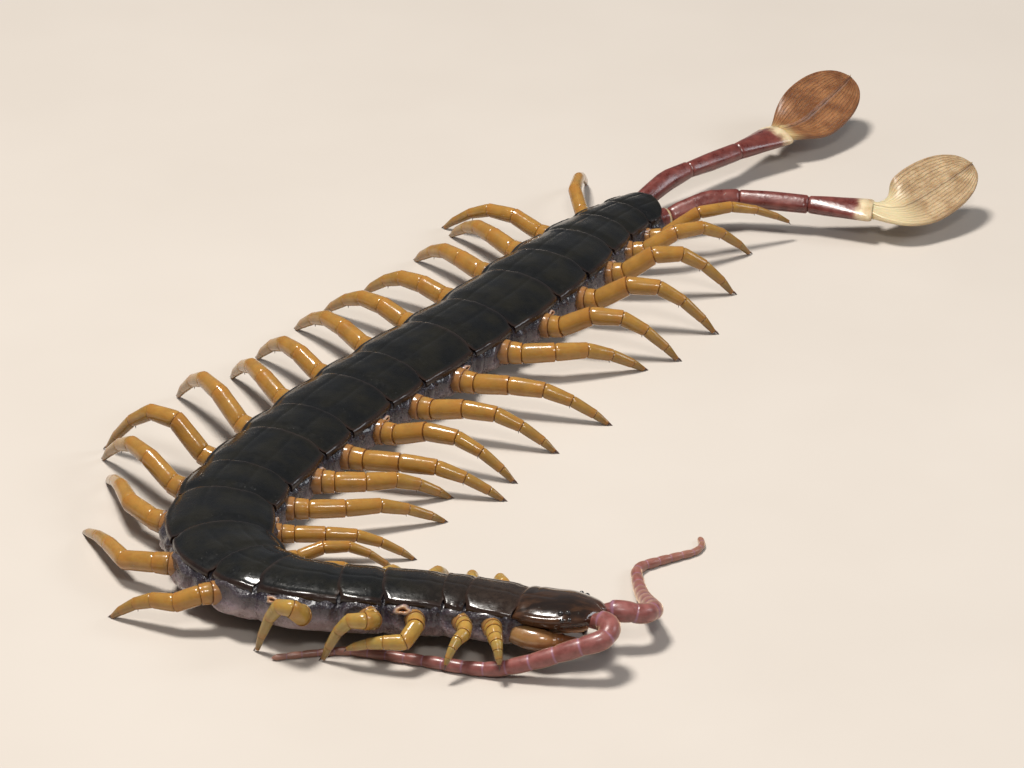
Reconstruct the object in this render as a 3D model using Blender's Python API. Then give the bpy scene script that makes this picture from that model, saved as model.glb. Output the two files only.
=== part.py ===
"""Feather-tailed giant centipede, life size, resting on the floor in a hairpin bend.

The body follows a route of arcs over the floor, from the front of the head to the
last trunk segment. Every cross section, plate, leg and feeler is placed from it.
Sizes are in millimetres and MM turns them into metres when a mesh is made.
Across a body section, a runs to the animal's left and b runs up from its belly.
"""
import math

import bmesh
import bpy
from mathutils import Matrix, Vector

MM = 0.001
GAP = 0.3

# Body: lengths front to rear, and how far the back turns to the left in each length
HEAD_FRONT = (4.01, -53.15)
HEAD_HEADING = 162.0
HEAD_LENGTH = 7.0
HEAD_TURN = 1.5
SEGMENT_LENGTHS = (4.5, 2.2, 5.4, 3.7, 6.1, 3.7, 6.0, 6.7, 4.9, 7.1, 5.1,
                   7.0, 5.4, 7.8, 6.0, 7.6, 5.6, 6.4, 4.9, 4.4, 2.9)
SEGMENT_TURNS = (3, 5.5, 4, -2.5, -23, -20.5, -29.5, -23.5, -11, -3.5, -2.5,
                 -3, -3, -1.5, 2.5, 3.5, 3.5, 2, -4, -9, -11)

# Cross section of the trunk at its widest
HALF_WIDTH = 4.75
HEIGHT = 4.8
BELLY = 0.6
MARGIN_LEVEL = 0.74
PLATE_RAISE = 0.34
PLATE_LIP = 0.5
COXA_REACH = 5.5
COXA_LEVEL = 0.44
COXA_RADIUS = 1.15
COXA_PLACE = 0.56
FRONT_ROLL = 12.0

# Head, its eyes and its jaws
HEAD_HALF_WIDTH = 3.8
HEAD_TOP = 4.65
HEAD_UNDERSIDE = 2.2
EYE_RADIUS = 0.85
OCELLUS_RADIUS = 0.3
JAW_PLATE_HALF_WIDTH = 1.9
JAW_RADIUS = 0.95

# Walking legs, prefemur to claw
LEG_LENGTH_SHARES = (0.05, 0.18, 0.31, 0.43, 0.55, 0.65, 0.74, 0.83, 0.90, 0.965, 1.0)
LEG_RADII = (0.92, 1.04, 0.86, 0.9, 0.72, 0.74, 0.55, 0.54, 0.42, 0.3, 0.16)
LEG_SIDES = 6

# Feelers
ANTENNA_ARTICLES = 18
ANTENNA_ROOT_RADIUS = 1.0
ANTENNA_TIP_RADIUS = 0.27
# Bends of each feeler, left (1) and right (-1): length and turn to the left, from socket to tip
ANTENNA_BENDS = {
    1: ((1.8, 10), (3.2, 95), (10.4, -6), (2.2, -62), (4.4, -4), (3.6, 90)),
    -1: ((3.5, -147), (8.4, -12), (4.5, -9), (8.0, 5), (2.5, 24), (5.2, 4)),
}

# Last pair of legs, slender and then leaf-like
SHANK_LENGTHS = (7.4, 7.0, 6.2)
LEAF_LENGTH = 11.9
LEAF_HALF_WIDTH = 3.4
LEAF_THICKNESS = 0.7
SHANK_TOTAL = sum(SHANK_LENGTHS)
SHANK_BENDS = {1: ((4.0, -10), (5.0, -28), (SHANK_TOTAL - 9.0, 2)), -1: ((6.0, -9), (SHANK_TOTAL - 6.0, 3))}
LEAF_TURN = {1: 46.0, -1: 6.0}
SHANK_LEVEL = {1: (3.4, 2.9), -1: (3.5, 3.0)}
LEAF_RISE = {1: 14.0, -1: 13.0}
LEAF_TILT = {1: 26.0, -1: 24.0}

# Pose of each walking leg, front to rear, left side (1) and right side (-1): sweep back of its root
# and of its foot in degrees, reach over the floor, knee height, and height of the claw above the floor
LEG_POSE = {
    1: ((10, 30, 4.8, 2.5, 0), (0, 10, 5.0, 2.3, 0), (-8, -20, 5.6, 2.3, 0), (-12, -34, 5.0, 2.4, 0),
        (-16, -46, 4.4, 2.4, 0), (-14, -40, 6.0, 2.5, 0), (-8, -14, 9.5, 3.3, 0), (0, 4, 11.5, 2.7, 0),
        (14, 34, 13.5, 2.7, 0), (18, 40, 11.5, 2.7, 0), (8, 18, 14.0, 3.0, 0), (4, 12, 12.5, 3.9, 0),
        (8, 20, 12.8, 3.5, 0), (10, 25, 13.8, 3.2, 0), (20, 50, 12.8, 3.0, 0), (10, 28, 12.0, 4.6, 0),
        (8, 24, 12.2, 5.0, 0), (14, 34, 11.4, 5.0, 0), (22, 55, 12.2, 4.4, 0), (24, 56, 14.2, 5.0, 2.0)),
    -1: ((-22, -26, 3.0, 3.6, 2.0), (-28, 26, 4.0, 3.7, 1.8), (-15, 95, 7.5, 3.0, 1.9), (-28, 106, 5.8, 4.8, 0),
         (-30, 106, 5.6, 5.6, 0), (30, 74, 9.3, 2.9, 0), (34, 90, 15.0, 2.3, 0), (30, 72, 14.5, 3.0, 0),
         (16, 40, 13.4, 4.6, 0), (4, 10, 12.2, 6.0, 0), (13, 34, 13.8, 5.0, 0), (13, 34, 11.6, 3.9, 0),
         (8, 22, 11.2, 3.9, 0), (8, 18, 12.0, 3.6, 0), (3, 8, 11.6, 3.6, 0), (2, 6, 10.8, 3.4, 0),
         (9, 24, 11.0, 3.2, 0), (12, 30, 11.2, 3.2, 0), (2, 4, 12.0, 3.6, 0), (26, 64, 12.0, 3.4, 0)),
}


class Trail:
    """A route over the floor made of arcs, each with its length and its turn to the left."""

    def __init__(self, start, heading, arcs):
        self.knots = [(0.0, start[0], start[1], math.radians(heading))]
        self.arcs = arcs
        for length, turn in arcs:
            s, x, y, h = self.knots[-1]
            self.knots.append((s + length, *self.follow(x, y, h, length, turn, length)))

    @staticmethod
    def follow(x, y, h, length, turn, distance):
        bend = math.radians(turn) / length
        if abs(bend) < 1e-6:
            return x + distance * math.cos(h), y + distance * math.sin(h), h
        end = h + bend * distance
        return x + (math.sin(end) - math.sin(h)) / bend, y + (math.cos(h) - math.cos(end)) / bend, end

    def length(self):
        return self.knots[-1][0]

    def at(self, s):
        """Place and direction of travel, s along the route."""
        number = len(self.arcs) - 1
        while number > 0 and s < self.knots[number][0]:
            number -= 1
        start, x, y, h = self.knots[number]
        length, turn = self.arcs[number]
        return self.follow(x, y, h, length, turn, s - start)


def smooth(value, low, high):
    """0 below low, 1 above high, and an even curve between."""
    t = min(max((value - low) / (high - low), 0.0), 1.0)
    return t * t * (3 - 2 * t)


def blend(value, stops):
    """Value read from a few (place, amount) stops with straight runs between them."""
    for (x0, y0), (x1, y1) in zip(stops, stops[1:]):
        if value <= x1:
            return y0 + (y1 - y0) * max(value - x0, 0.0) / (x1 - x0)
    return stops[-1][1]


BODY = Trail(HEAD_FRONT, HEAD_HEADING,
             [(HEAD_LENGTH, HEAD_TURN)] + list(zip(SEGMENT_LENGTHS, SEGMENT_TURNS)))


def segment_start(number):
    """Distance along the body to the front edge of trunk segment 1 to 21, or to the rear end as 22."""
    return BODY.knots[number][0]


def girth(s):
    """Width of the body at s, against its widest."""
    return 0.8 + 0.2 * smooth(s, 8, 42) - 0.34 * smooth(s, 98, 123)


def height(s):
    return HEIGHT * (0.88 + 0.12 * smooth(s, 4, 24) - 0.38 * smooth(s, 98, 123))


def roll(s):
    """The front of the body leans to its left, right side up."""
    return math.radians(FRONT_ROLL) * (1 - smooth(s, 24, 44))


def body_point(s, a, b):
    """World place of a point of the body section at s."""
    x, y, h = BODY.at(s)
    lean = roll(s)
    middle = height(s) / 2
    across = a * math.cos(lean) + (b - middle) * math.sin(lean)
    up = -a * math.sin(lean) + (b - middle) * math.cos(lean) + middle
    lift = BELLY + 0.5 * HALF_WIDTH * girth(s) * math.sin(lean)
    return Vector((x + across * math.sin(h), y - across * math.cos(h), up + lift))


def body_direction(s, back, left, up):
    """World direction of a direction given as parts towards the tail, the left side and the top."""
    h = BODY.at(s)[2]
    lean = roll(s)
    across = left * math.cos(lean) + up * math.sin(lean)
    rise = up * math.cos(lean) - left * math.sin(lean)
    return Vector((back * math.cos(h) + across * math.sin(h),
                   back * math.sin(h) - across * math.cos(h), rise)).normalized()


def material(name, colour, roughness):
    made = bpy.data.materials.new(name)
    made.use_nodes = True
    shader = made.node_tree.nodes["Principled BSDF"]
    shader.inputs["Base Color"].default_value = (*colour, 1)
    shader.inputs["Roughness"].default_value = roughness
    return made


def make_object(name, bm, finish=None):
    """Turn a bmesh in millimetres into a smooth shaded object in metres."""
    bmesh.ops.recalc_face_normals(bm, faces=bm.faces)
    bmesh.ops.scale(bm, vec=(MM, MM, MM), verts=bm.verts)
    mesh = bpy.data.meshes.new(name)
    bm.to_mesh(mesh)
    bm.free()
    mesh.shade_smooth()
    mesh.set_sharp_from_angle(angle=math.radians(50))
    if finish:
        mesh.materials.append(finish)
    made = bpy.data.objects.new(name, mesh)
    bpy.context.scene.collection.objects.link(made)
    return made


def loft(bm, rings):
    """Skin a row of rings of points, all with the same count, and close both ends."""
    loops = [[bm.verts.new(point) for point in ring] for ring in rings]
    for low, high in zip(loops, loops[1:]):
        count = len(low)
        for i in range(count):
            j = (i + 1) % count
            bm.faces.new((low[i], low[j], high[j], high[i]))
    bm.faces.new(loops[0])
    bm.faces.new(loops[-1])


def ring_round(centre, direction, radius, sides, flatten=1.0):
    """A ring square to a direction, made lower by flatten."""
    side = direction.cross(Vector((0, 0, 1))).normalized()
    top = side.cross(direction).normalized()
    points = []
    for i in range(sides):
        angle = math.tau * (i + 0.5) / sides
        points.append(centre + side * (radius * math.cos(angle)) + top * (radius * flatten * math.sin(angle)))
    return points


def tube(bm, centres, radii, sides, first=None, last=None, flats=None):
    """A tapered tube along a row of centres, flattened by flats and laid flat on the floor."""
    rings = []
    for i, (centre, radius) in enumerate(zip(centres, radii)):
        before = centres[max(i - 1, 0)]
        after = centres[min(i + 1, len(centres) - 1)]
        direction = (after - before).normalized()
        if i == 0 and first:
            direction = first
        if i == len(centres) - 1 and last:
            direction = last
        ring = ring_round(centre, direction, radius, sides, flats[i] if flats else 1.0)
        rings.append([Vector((p.x, p.y, max(p.z, 0.0))) for p in ring])
    loft(bm, rings)


def cone(bm, start, end, radius_start, radius_end, sides):
    """A short tapered rod between two points."""
    direction = (end - start).normalized()
    loft(bm, [ring_round(start, direction, radius_start, sides),
              ring_round(end, direction, radius_end, sides)])


def merge(name, base, pieces, finish, operation="UNION"):
    """Join closed pieces to a closed base by one Boolean, and keep its largest closed surface."""
    group = bpy.data.collections.new(name + "_pieces")
    for piece in pieces:
        bpy.context.scene.collection.objects.unlink(piece)
        group.objects.link(piece)
    step = base.modifiers.new("join", "BOOLEAN")
    step.operand_type = "COLLECTION"
    step.collection = group
    step.operation = operation
    step.solver = "EXACT"
    joined = bpy.data.meshes.new_from_object(base.evaluated_get(bpy.context.evaluated_depsgraph_get()))
    for piece in pieces:
        bpy.data.objects.remove(piece)
    bpy.data.collections.remove(group)
    bpy.data.objects.remove(base)
    bm = bmesh.new()
    bm.from_mesh(joined)
    bmesh.ops.remove_doubles(bm, verts=bm.verts, dist=0.00001)
    keep_largest(bm)
    bmesh.ops.scale(bm, vec=(1 / MM, 1 / MM, 1 / MM), verts=bm.verts)
    return make_object(name, bm, finish)


def keep_largest(bm):
    """Drop every closed surface but the one with the most faces."""
    left = set(bm.faces)
    islands = []
    while left:
        queue = [left.pop()]
        island = []
        while queue:
            face = queue.pop()
            island.append(face)
            for edge in face.edges:
                for other in edge.link_faces:
                    if other in left:
                        left.discard(other)
                        queue.append(other)
        islands.append(island)
    islands.sort(key=len)
    for island in islands[:-1]:
        bmesh.ops.delete(bm, geom=island, context="FACES")


# Trunk

def trunk_ring(s, raised, spread):
    """Section of the trunk: crowned plate, its lip, the soft side and the flat belly."""
    half = HALF_WIDTH * girth(s) * spread
    tall = height(s)
    margin = MARGIN_LEVEL * tall
    plate = []
    for u in (1, 0.74, 0.4, 0, -0.4, -0.74, -1):
        crown = margin + (tall - margin) * (1 - abs(u) ** 2.6)
        plate.append((half * u, crown + raised * (1 - 0.3 * abs(u))))
    soft = HALF_WIDTH * girth(s)
    right = [(-half * 0.95, margin - PLATE_LIP), (-soft * 1.02, 0.45 * tall),
             (-soft * 0.94, 0.19 * tall), (-soft * 0.62, 0.02 * tall)]
    left = [(-a, b) for a, b in reversed(right)]
    return [body_point(s, a, b) for a, b in plate + right + [(0, 0)] + left]


def trunk_rings(first, last):
    """Rings from the front edge of one segment to the rear edge of another, four to a segment."""
    rings = []
    for number in range(first, last + 1):
        start = segment_start(number)
        long = segment_start(number + 1) - start
        begin = start + GAP / 2 if number == first else start
        rings.append(trunk_ring(begin, 0, 0.95))
        rings.append(trunk_ring(start + 0.13 * long, PLATE_RAISE * 0.5, 0.985))
        rings.append(trunk_ring(start + 0.5 * long, PLATE_RAISE, 1.02))
        rings.append(trunk_ring(start + 0.9 * long, PLATE_RAISE, 1.0))
    rings.append(trunk_ring(segment_start(last + 1) - GAP / 2, 0, 0.95))
    return rings


def leg_size(number, side):
    """Thickness of a leg against the stoutest; legs are slimmer where the bend crowds them."""
    long = SEGMENT_LENGTHS[number - 1]
    room = 1 + side * COXA_REACH * math.radians(SEGMENT_TURNS[number - 1]) / long
    return girth(segment_start(number)) * min(max(0.25 + 0.85 * room, 0.6), 1.0)


def coxa_face(number, side, sweep):
    """Middle and outward direction of the flat face that carries a walking leg."""
    s = segment_start(number) + COXA_PLACE * SEGMENT_LENGTHS[number - 1]
    turn = math.radians(sweep)
    outward = body_direction(s, math.sin(turn), side * math.cos(turn), 0)
    root = body_point(s, side * HALF_WIDTH * girth(s) * 0.55, COXA_LEVEL * height(s))
    reach = COXA_REACH * girth(s) - HALF_WIDTH * girth(s) * 0.55
    return root, root + outward * reach, outward


def make_trunk(name, first, last, finish):
    bm = bmesh.new()
    loft(bm, trunk_rings(first, last))
    base = make_object(name + "_base", bm)
    coxae = []
    for number in range(first, min(last, 20) + 1):
        for side in (1, -1):
            root, face, _ = coxa_face(number, side, LEG_POSE[side][number - 1][0])
            size = leg_size(number, side)
            bm = bmesh.new()
            cone(bm, root, face, COXA_RADIUS * 1.35 * size, COXA_RADIUS * size, 8)
            coxae.append(make_object("coxa", bm))
    return merge(name, base, coxae, finish)


# Walking legs

def leg_route(number, side):
    """Centres of the leg's rings, from its coxa face down to the claw."""
    first_sweep, last_sweep, reach, knee, tip = LEG_POSE[side][number - 1]
    _, face, outward = coxa_face(number, side, first_sweep)
    s = segment_start(number) + COXA_PLACE * SEGMENT_LENGTHS[number - 1]
    h = BODY.at(s)[2]
    start = face + outward * GAP
    centres = [start, start + outward * (LEG_LENGTH_SHARES[0] * reach)]
    place = centres[-1].copy()
    last_share = LEG_LENGTH_SHARES[0]
    for share in LEG_LENGTH_SHARES[1:]:
        turn = math.radians(first_sweep + (last_sweep - first_sweep) * smooth(share, 0.05, 0.5))
        back = math.sin(turn)
        out = side * math.cos(turn)
        way = Vector((back * math.cos(h) + out * math.sin(h), back * math.sin(h) - out * math.cos(h), 0))
        place = place + way * (reach * (share - last_share))
        last_share = share
        if share < 0.42:
            rise = math.sin(math.pi / 2 * share / 0.42)
            z = start.z + (knee - start.z) * rise
        else:
            fall = max(math.cos(math.pi / 2 * (share - 0.42) / 0.58), 0.0)
            z = tip + (knee - tip) * fall ** 0.9
        centres.append(Vector((place.x, place.y, z)))
    return centres, outward


def make_leg(name, number, side, finish):
    centres, outward = leg_route(number, side)
    size = leg_size(number, side)
    tip = LEG_POSE[side][number - 1][4]
    radii = [COXA_RADIUS * 0.86 * size] + [r * size for r in LEG_RADII]
    if tip == 0:
        centres[-1].z = 0
    bm = bmesh.new()
    down = Vector((outward.x * 0.05, outward.y * 0.05, -1)).normalized() if tip == 0 else None
    tube(bm, centres, radii, LEG_SIDES, first=outward, last=down)
    if tip == 0:
        flatten_claw(bm)
    return make_object(name, bm, finish)


def flatten_claw(bm):
    """Set the claw's end ring on the floor."""
    bm.verts.ensure_lookup_table()
    for vert in bm.verts[-LEG_SIDES:]:
        vert.co.z = 0


# Head

def head_ring(s, half, top, bottom):
    """Section of the head: a low crowned plate with a sharp margin over a narrower face."""
    rim = bottom + (top - bottom) * 0.42
    plate = [(half * u, rim + (top - rim) * (1 - abs(u) ** 2.4)) for u in (1, 0.72, 0.38, 0, -0.38, -0.72, -1)]
    under = [(-half * 0.93, rim - 0.35), (-half * 0.72, bottom + 0.1), (0, bottom),
             (half * 0.72, bottom + 0.1), (half * 0.93, rim - 0.35)]
    return [body_point(s, a, b) for a, b in plate + under]


def socket_face(side):
    """Middle and direction of the flat face that carries a feeler."""
    turn = math.radians(14)
    outward = body_direction(0, -math.cos(turn), side * math.sin(turn), -0.06)
    root = body_point(1.6, side * 1.15, 3.35)
    return root, root + outward * 1.9, outward


def eye_place(side):
    """Middle and outward direction of the patch of four ocelli on the side of the head."""
    outward = body_direction(2.5, -0.42, side * 0.86, 0.34)
    return body_point(2.5, side * 3.05, 3.55), outward


def make_head(finish):
    stops = ((0.0, 1.5, 3.7, 2.95), (0.5, 2.2, 4.1, 2.75), (1.4, 2.85, 4.45, 2.6),
             (2.8, 3.45, 4.75, HEAD_UNDERSIDE), (4.4, HEAD_HALF_WIDTH, HEAD_TOP, HEAD_UNDERSIDE), (5.8, 3.75, HEAD_TOP, HEAD_UNDERSIDE),
             (HEAD_LENGTH - GAP / 2, 3.4, 4.55, HEAD_UNDERSIDE))
    bm = bmesh.new()
    loft(bm, [head_ring(*stop) for stop in stops])
    base = make_object("head_base", bm)
    sockets = []
    for side in (1, -1):
        root, face, _ = socket_face(side)
        bm = bmesh.new()
        cone(bm, root, face, 1.2, 1.0, 8)
        sockets.append(make_object("socket", bm))
    solid = merge("head_solid", base, sockets, finish)
    pockets = []
    for side in (1, -1):
        middle, outward = eye_place(side)
        bm = bmesh.new()
        cone(bm, middle - outward * 0.45, middle + outward * 2, EYE_RADIUS + GAP, EYE_RADIUS + GAP, 10)
        pockets.append(make_object("pocket", bm))
    return merge("head", solid, pockets, finish, "DIFFERENCE")


def make_eye(name, side, finish):
    """Four domed ocelli on one round patch, set in the pocket of the head."""
    middle, outward = eye_place(side)
    floor = -0.45 + GAP
    bm = bmesh.new()
    cone(bm, middle + outward * floor, middle + outward * 0.35, EYE_RADIUS, EYE_RADIUS * 0.9, 10)
    base = make_object(name + "_patch", bm)
    back = outward.cross(Vector((0, 0, 1))).normalized()
    up = back.cross(outward).normalized()
    domes = []
    for i in range(4):
        angle = math.tau * (i + 0.5) / 4
        spot = middle + outward * 0.38 + (back * math.cos(angle) + up * math.sin(angle)) * 0.43
        bm = bmesh.new()
        bmesh.ops.create_icosphere(bm, subdivisions=1, radius=OCELLUS_RADIUS, matrix=Matrix.Translation(spot))
        domes.append(make_object("ocellus", bm))
    return merge(name, base, domes, finish)


def make_jaw_plate(finish):
    """The plate under the head that carries the poison jaws."""
    stops = ((3.6, 1.2, 1.7, 0.9), (4.3, 1.6, 1.85, 0.5), (5.4, JAW_PLATE_HALF_WIDTH, 1.88, 0.3),
             (HEAD_LENGTH - GAP / 2, JAW_PLATE_HALF_WIDTH, 1.88, 0.25))
    bm = bmesh.new()
    rings = []
    for s, half, top, bottom in stops:
        outline = ((1, 0.75), (0.55, 1), (-0.55, 1), (-1, 0.75), (-1, 0.3), (-0.55, 0), (0.55, 0), (1, 0.3))
        rings.append([body_point(s, half * u, bottom + (top - bottom) * v) for u, v in outline])
    loft(bm, rings)
    return make_object("forcipule_plate", bm, finish)


def make_jaw(name, side, finish):
    """A poison jaw, stout at its root and curved in to a claw under the mouth."""
    route = ((5.9, JAW_PLATE_HALF_WIDTH + GAP, 1.05, 0.8), (5.5, 2.85, 1.05, 0.9), (4.5, 3.05, 1.1, 1.0),
             (3.2, 2.7, 1.1, 0.8), (2.3, 2.15, 1.1, 0.62), (1.6, 1.5, 1.05, 0.42), (1.25, 0.9, 1.0, 0.2),
             (1.15, 0.4, 1.0, 0.1))
    centres = [body_point(s, side * a, b) for s, a, b, _ in route]
    radii = [r * JAW_RADIUS for *_, r in route]
    bm = bmesh.new()
    tube(bm, centres, radii, 7, first=body_direction(5.9, 0, side, 0))
    return make_object(name, bm, finish)


# Feelers

def antenna_trail(side):
    """Route of a feeler on the floor plan, from its socket."""
    _, face, outward = socket_face(side)
    start = face + outward * GAP
    heading = math.degrees(math.atan2(outward.y, outward.x))
    return Trail((start.x, start.y), heading, ANTENNA_BENDS[side]), start, outward


def make_antenna(name, side, finish):
    """A chain of barrel-shaped articles that comes down to the floor and lies along it."""
    trail, start, outward = antenna_trail(side)
    total = trail.length()
    centres = []
    radii = []
    shrink = 0.965
    unit = total * (1 - shrink) / (1 - shrink ** ANTENNA_ARTICLES)
    s = 0.0
    for i in range(ANTENNA_ARTICLES):
        long = unit * shrink ** i
        for share, swell in ((0.0, 0.84), (0.35, 1.0), (0.8, 1.04)):
            here = s + long * share
            taper = (here / total) ** 0.8
            radius = (ANTENNA_ROOT_RADIUS * (1 - taper) + ANTENNA_TIP_RADIUS * taper) * swell
            x, y, _ = trail.at(here)
            z = radius * 0.97 + (start.z - ANTENNA_ROOT_RADIUS) * (1 - smooth(here, 0, ANTENNA_DESCENT[side]))
            centres.append(Vector((x, y, z)))
            radii.append(radius)
        s += long
    x, y, _ = trail.at(total)
    centres.append(Vector((x, y, ANTENNA_TIP_RADIUS * 0.7)))
    radii.append(ANTENNA_TIP_RADIUS * 0.6)
    centres[0] = start
    bm = bmesh.new()
    tube(bm, centres, radii, 6, first=outward)
    return make_object(name, bm, finish)


ANTENNA_DESCENT = {1: 14.0, -1: 14.0}


# Last pair of legs


def last_coxa(side):
    """Middle and direction of the face behind the last segment that carries an ultimate leg."""
    end = segment_start(22)
    turn = math.radians(12)
    outward = body_direction(end, math.cos(turn), side * math.sin(turn), 0.05)
    root = body_point(end - 1.8, side * 1.5, 0.5 * height(end))
    return root, root + outward * 2.6, outward


def shank_route(side):
    _, face, outward = last_coxa(side)
    start = face + outward * GAP
    heading = math.degrees(math.atan2(outward.y, outward.x))
    trail = Trail((start.x, start.y), heading, SHANK_BENDS[side])
    total = trail.length()
    shares = (0.0, 0.05, 0.2, 0.345, 0.365, 0.5, 0.68, 0.7, 0.85, 0.985, 1.0)
    radii = (0.85, 1.0, 1.08, 0.9, 0.82, 0.95, 1.0, 0.95, 1.45, 2.05, 1.95)
    flats = (1.0, 1.0, 1.0, 1.0, 1.0, 0.95, 0.9, 0.9, 0.62, 0.42, 0.42)
    centres = []
    for share in shares:
        x, y, h = trail.at(share * total)
        low = blend(share, ((0, start.z), (0.25, SHANK_LEVEL[side][0]), (1, SHANK_LEVEL[side][1])))
        centres.append(Vector((x, y, low)))
    centres[0] = start
    return centres, radii, flats, outward, math.degrees(trail.at(total)[2])


def make_shank(name, side, finish):
    """Prefemur, femur and the spreading tibia of an ultimate leg."""
    centres, radii, flats, outward, _ = shank_route(side)
    bm = bmesh.new()
    tube(bm, centres, radii, 8, first=outward, flats=flats)
    return make_object(name, bm, finish)


def make_leaf(name, side, finish):
    """The flattened end of an ultimate leg: a thin leaf with a rounded tip and a raised midrib."""
    centres, _, _, _, heading = shank_route(side)
    direction = (centres[-1] - centres[-2]).normalized()
    start = centres[-1] + direction * GAP
    final = math.radians(heading + LEAF_TURN[side])
    rise = math.radians(LEAF_RISE[side])
    way = Vector((math.cos(final) * math.cos(rise), math.sin(final) * math.cos(rise), math.sin(rise)))
    stops = ((0.0, 0.36, 1.1), (0.1, 0.62, 0.8), (0.25, 0.86, 0.55), (0.45, 1.0, 0.5), (0.65, 0.98, 0.5),
             (0.8, 0.84, 0.45), (0.9, 0.62, 0.42), (0.97, 0.36, 0.4), (1.0, 0.12, 0.36))
    rings = []
    middle = start
    reached = 0.0
    for share, wide, thick in stops:
        ahead = direction.lerp(way, smooth(share, 0, 0.4)).normalized()
        middle = middle + ahead * (LEAF_LENGTH * (share - reached))
        reached = share
        tilt = math.radians(LEAF_TILT[side]) * smooth(share, 0, 0.4)
        level = ahead.cross(Vector((0, 0, 1))).normalized()
        across = level * math.cos(tilt) - level.cross(ahead) * math.sin(tilt)
        up = across.cross(ahead)
        half = LEAF_HALF_WIDTH * wide
        rib = LEAF_THICKNESS * (0.5 + thick)
        edge = LEAF_THICKNESS * 0.36
        outline = ((1, edge), (0.45, edge * 1.3), (0, rib), (-0.45, edge * 1.3), (-1, edge),
                   (-1, -edge), (-0.45, -edge * 1.3), (0, -rib), (0.45, -edge * 1.3), (1, -edge))
        rings.append([middle + across * (half * u) + up * v for u, v in outline])
    bm = bmesh.new()
    loft(bm, rings)
    return make_object(name, bm, finish)


def make_centipede():
    for old in list(bpy.data.objects):
        bpy.data.objects.remove(old)
    shell = material("trunk_shell", (0.025, 0.027, 0.03), 0.3)
    head_shell = material("head_shell", (0.05, 0.025, 0.018), 0.25)
    lens = material("ocelli", (0.01, 0.01, 0.012), 0.08)
    feeler = material("feeler", (0.42, 0.16, 0.14), 0.4)
    jaw = material("jaw_amber", (0.55, 0.33, 0.14), 0.3)
    amber = material("leg_amber", (0.5, 0.28, 0.06), 0.3)
    maroon = material("shank_maroon", (0.2, 0.04, 0.03), 0.4)
    leaf = material("leaf_brown", (0.3, 0.13, 0.05), 0.5)
    make_head(head_shell)
    make_jaw_plate(jaw)
    for side, word in ((1, "left"), (-1, "right")):
        make_eye("eye_" + word, side, lens)
        make_jaw("forcipule_" + word, side, jaw)
        make_antenna("antenna_" + word, side, feeler)
        make_shank("ultimate_leg_" + word, side, maroon)
        make_leaf("tail_leaf_" + word, side, leaf)
        for number in range(1, 21):
            make_leg(f"leg_{word}_{number:02d}", number, side, amber)
    for first in range(1, 22, 3):
        make_trunk(f"trunk_{first:02d}_to_{first + 2:02d}", first, first + 2, shell)


make_centipede()
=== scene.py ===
"""Feather-tailed giant centipede: the looks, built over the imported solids.

The body's route and sections repeat the solids' own, in millimetres, and every surface here is
a grid whose corners are carried to their place on that route. MM turns them into metres.
"""
import math

import bmesh
import bpy
from mathutils import Matrix, Vector, noise


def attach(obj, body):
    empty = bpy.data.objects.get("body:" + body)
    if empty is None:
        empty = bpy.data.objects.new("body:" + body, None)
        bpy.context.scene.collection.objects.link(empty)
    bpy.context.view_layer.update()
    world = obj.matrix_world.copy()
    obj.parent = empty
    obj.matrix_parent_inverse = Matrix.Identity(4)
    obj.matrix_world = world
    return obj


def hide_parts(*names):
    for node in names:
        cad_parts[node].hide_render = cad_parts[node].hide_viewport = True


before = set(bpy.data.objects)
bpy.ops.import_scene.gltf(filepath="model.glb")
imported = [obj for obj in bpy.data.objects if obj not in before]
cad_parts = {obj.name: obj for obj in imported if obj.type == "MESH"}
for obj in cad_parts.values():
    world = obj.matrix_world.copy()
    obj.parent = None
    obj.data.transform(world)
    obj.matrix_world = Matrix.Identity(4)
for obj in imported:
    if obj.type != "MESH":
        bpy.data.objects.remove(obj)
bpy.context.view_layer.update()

MM = 0.001
GAP = 0.3
UP = Vector((0, 0, 1))
SEGMENTS = 21
LEG_PAIRS = 20
SIDES = ((1, "left"), (-1, "right"))

# Body route and sizes, as in the solids
HEAD_FRONT = (4.01, -53.15)
HEAD_HEADING = 162.0
HEAD_LENGTH = 7.0
HEAD_TURN = 1.5
SEGMENT_LENGTHS = (4.5, 2.2, 5.4, 3.7, 6.1, 3.7, 6.0, 6.7, 4.9, 7.1, 5.1,
                   7.0, 5.4, 7.8, 6.0, 7.6, 5.6, 6.4, 4.9, 4.4, 2.9)
SEGMENT_TURNS = (3, 5.5, 4, -2.5, -23, -20.5, -29.5, -23.5, -11, -3.5, -2.5,
                 -3, -3, -1.5, 2.5, 3.5, 3.5, 2, -4, -9, -11)
HALF_WIDTH = 4.75
HEIGHT = 4.8
BELLY = 0.6
MARGIN_LEVEL = 0.74
PLATE_RAISE = 0.34
COXA_REACH = 5.5
COXA_LEVEL = 0.44
COXA_RADIUS = 1.15
COXA_PLACE = 0.56
FRONT_ROLL = 12.0
HEAD_HALF_WIDTH = 3.8
HEAD_TOP = 4.65
HEAD_UNDERSIDE = 2.2
JAW_PLATE_HALF_WIDTH = 1.9
JAW_RADIUS = 0.95

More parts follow.
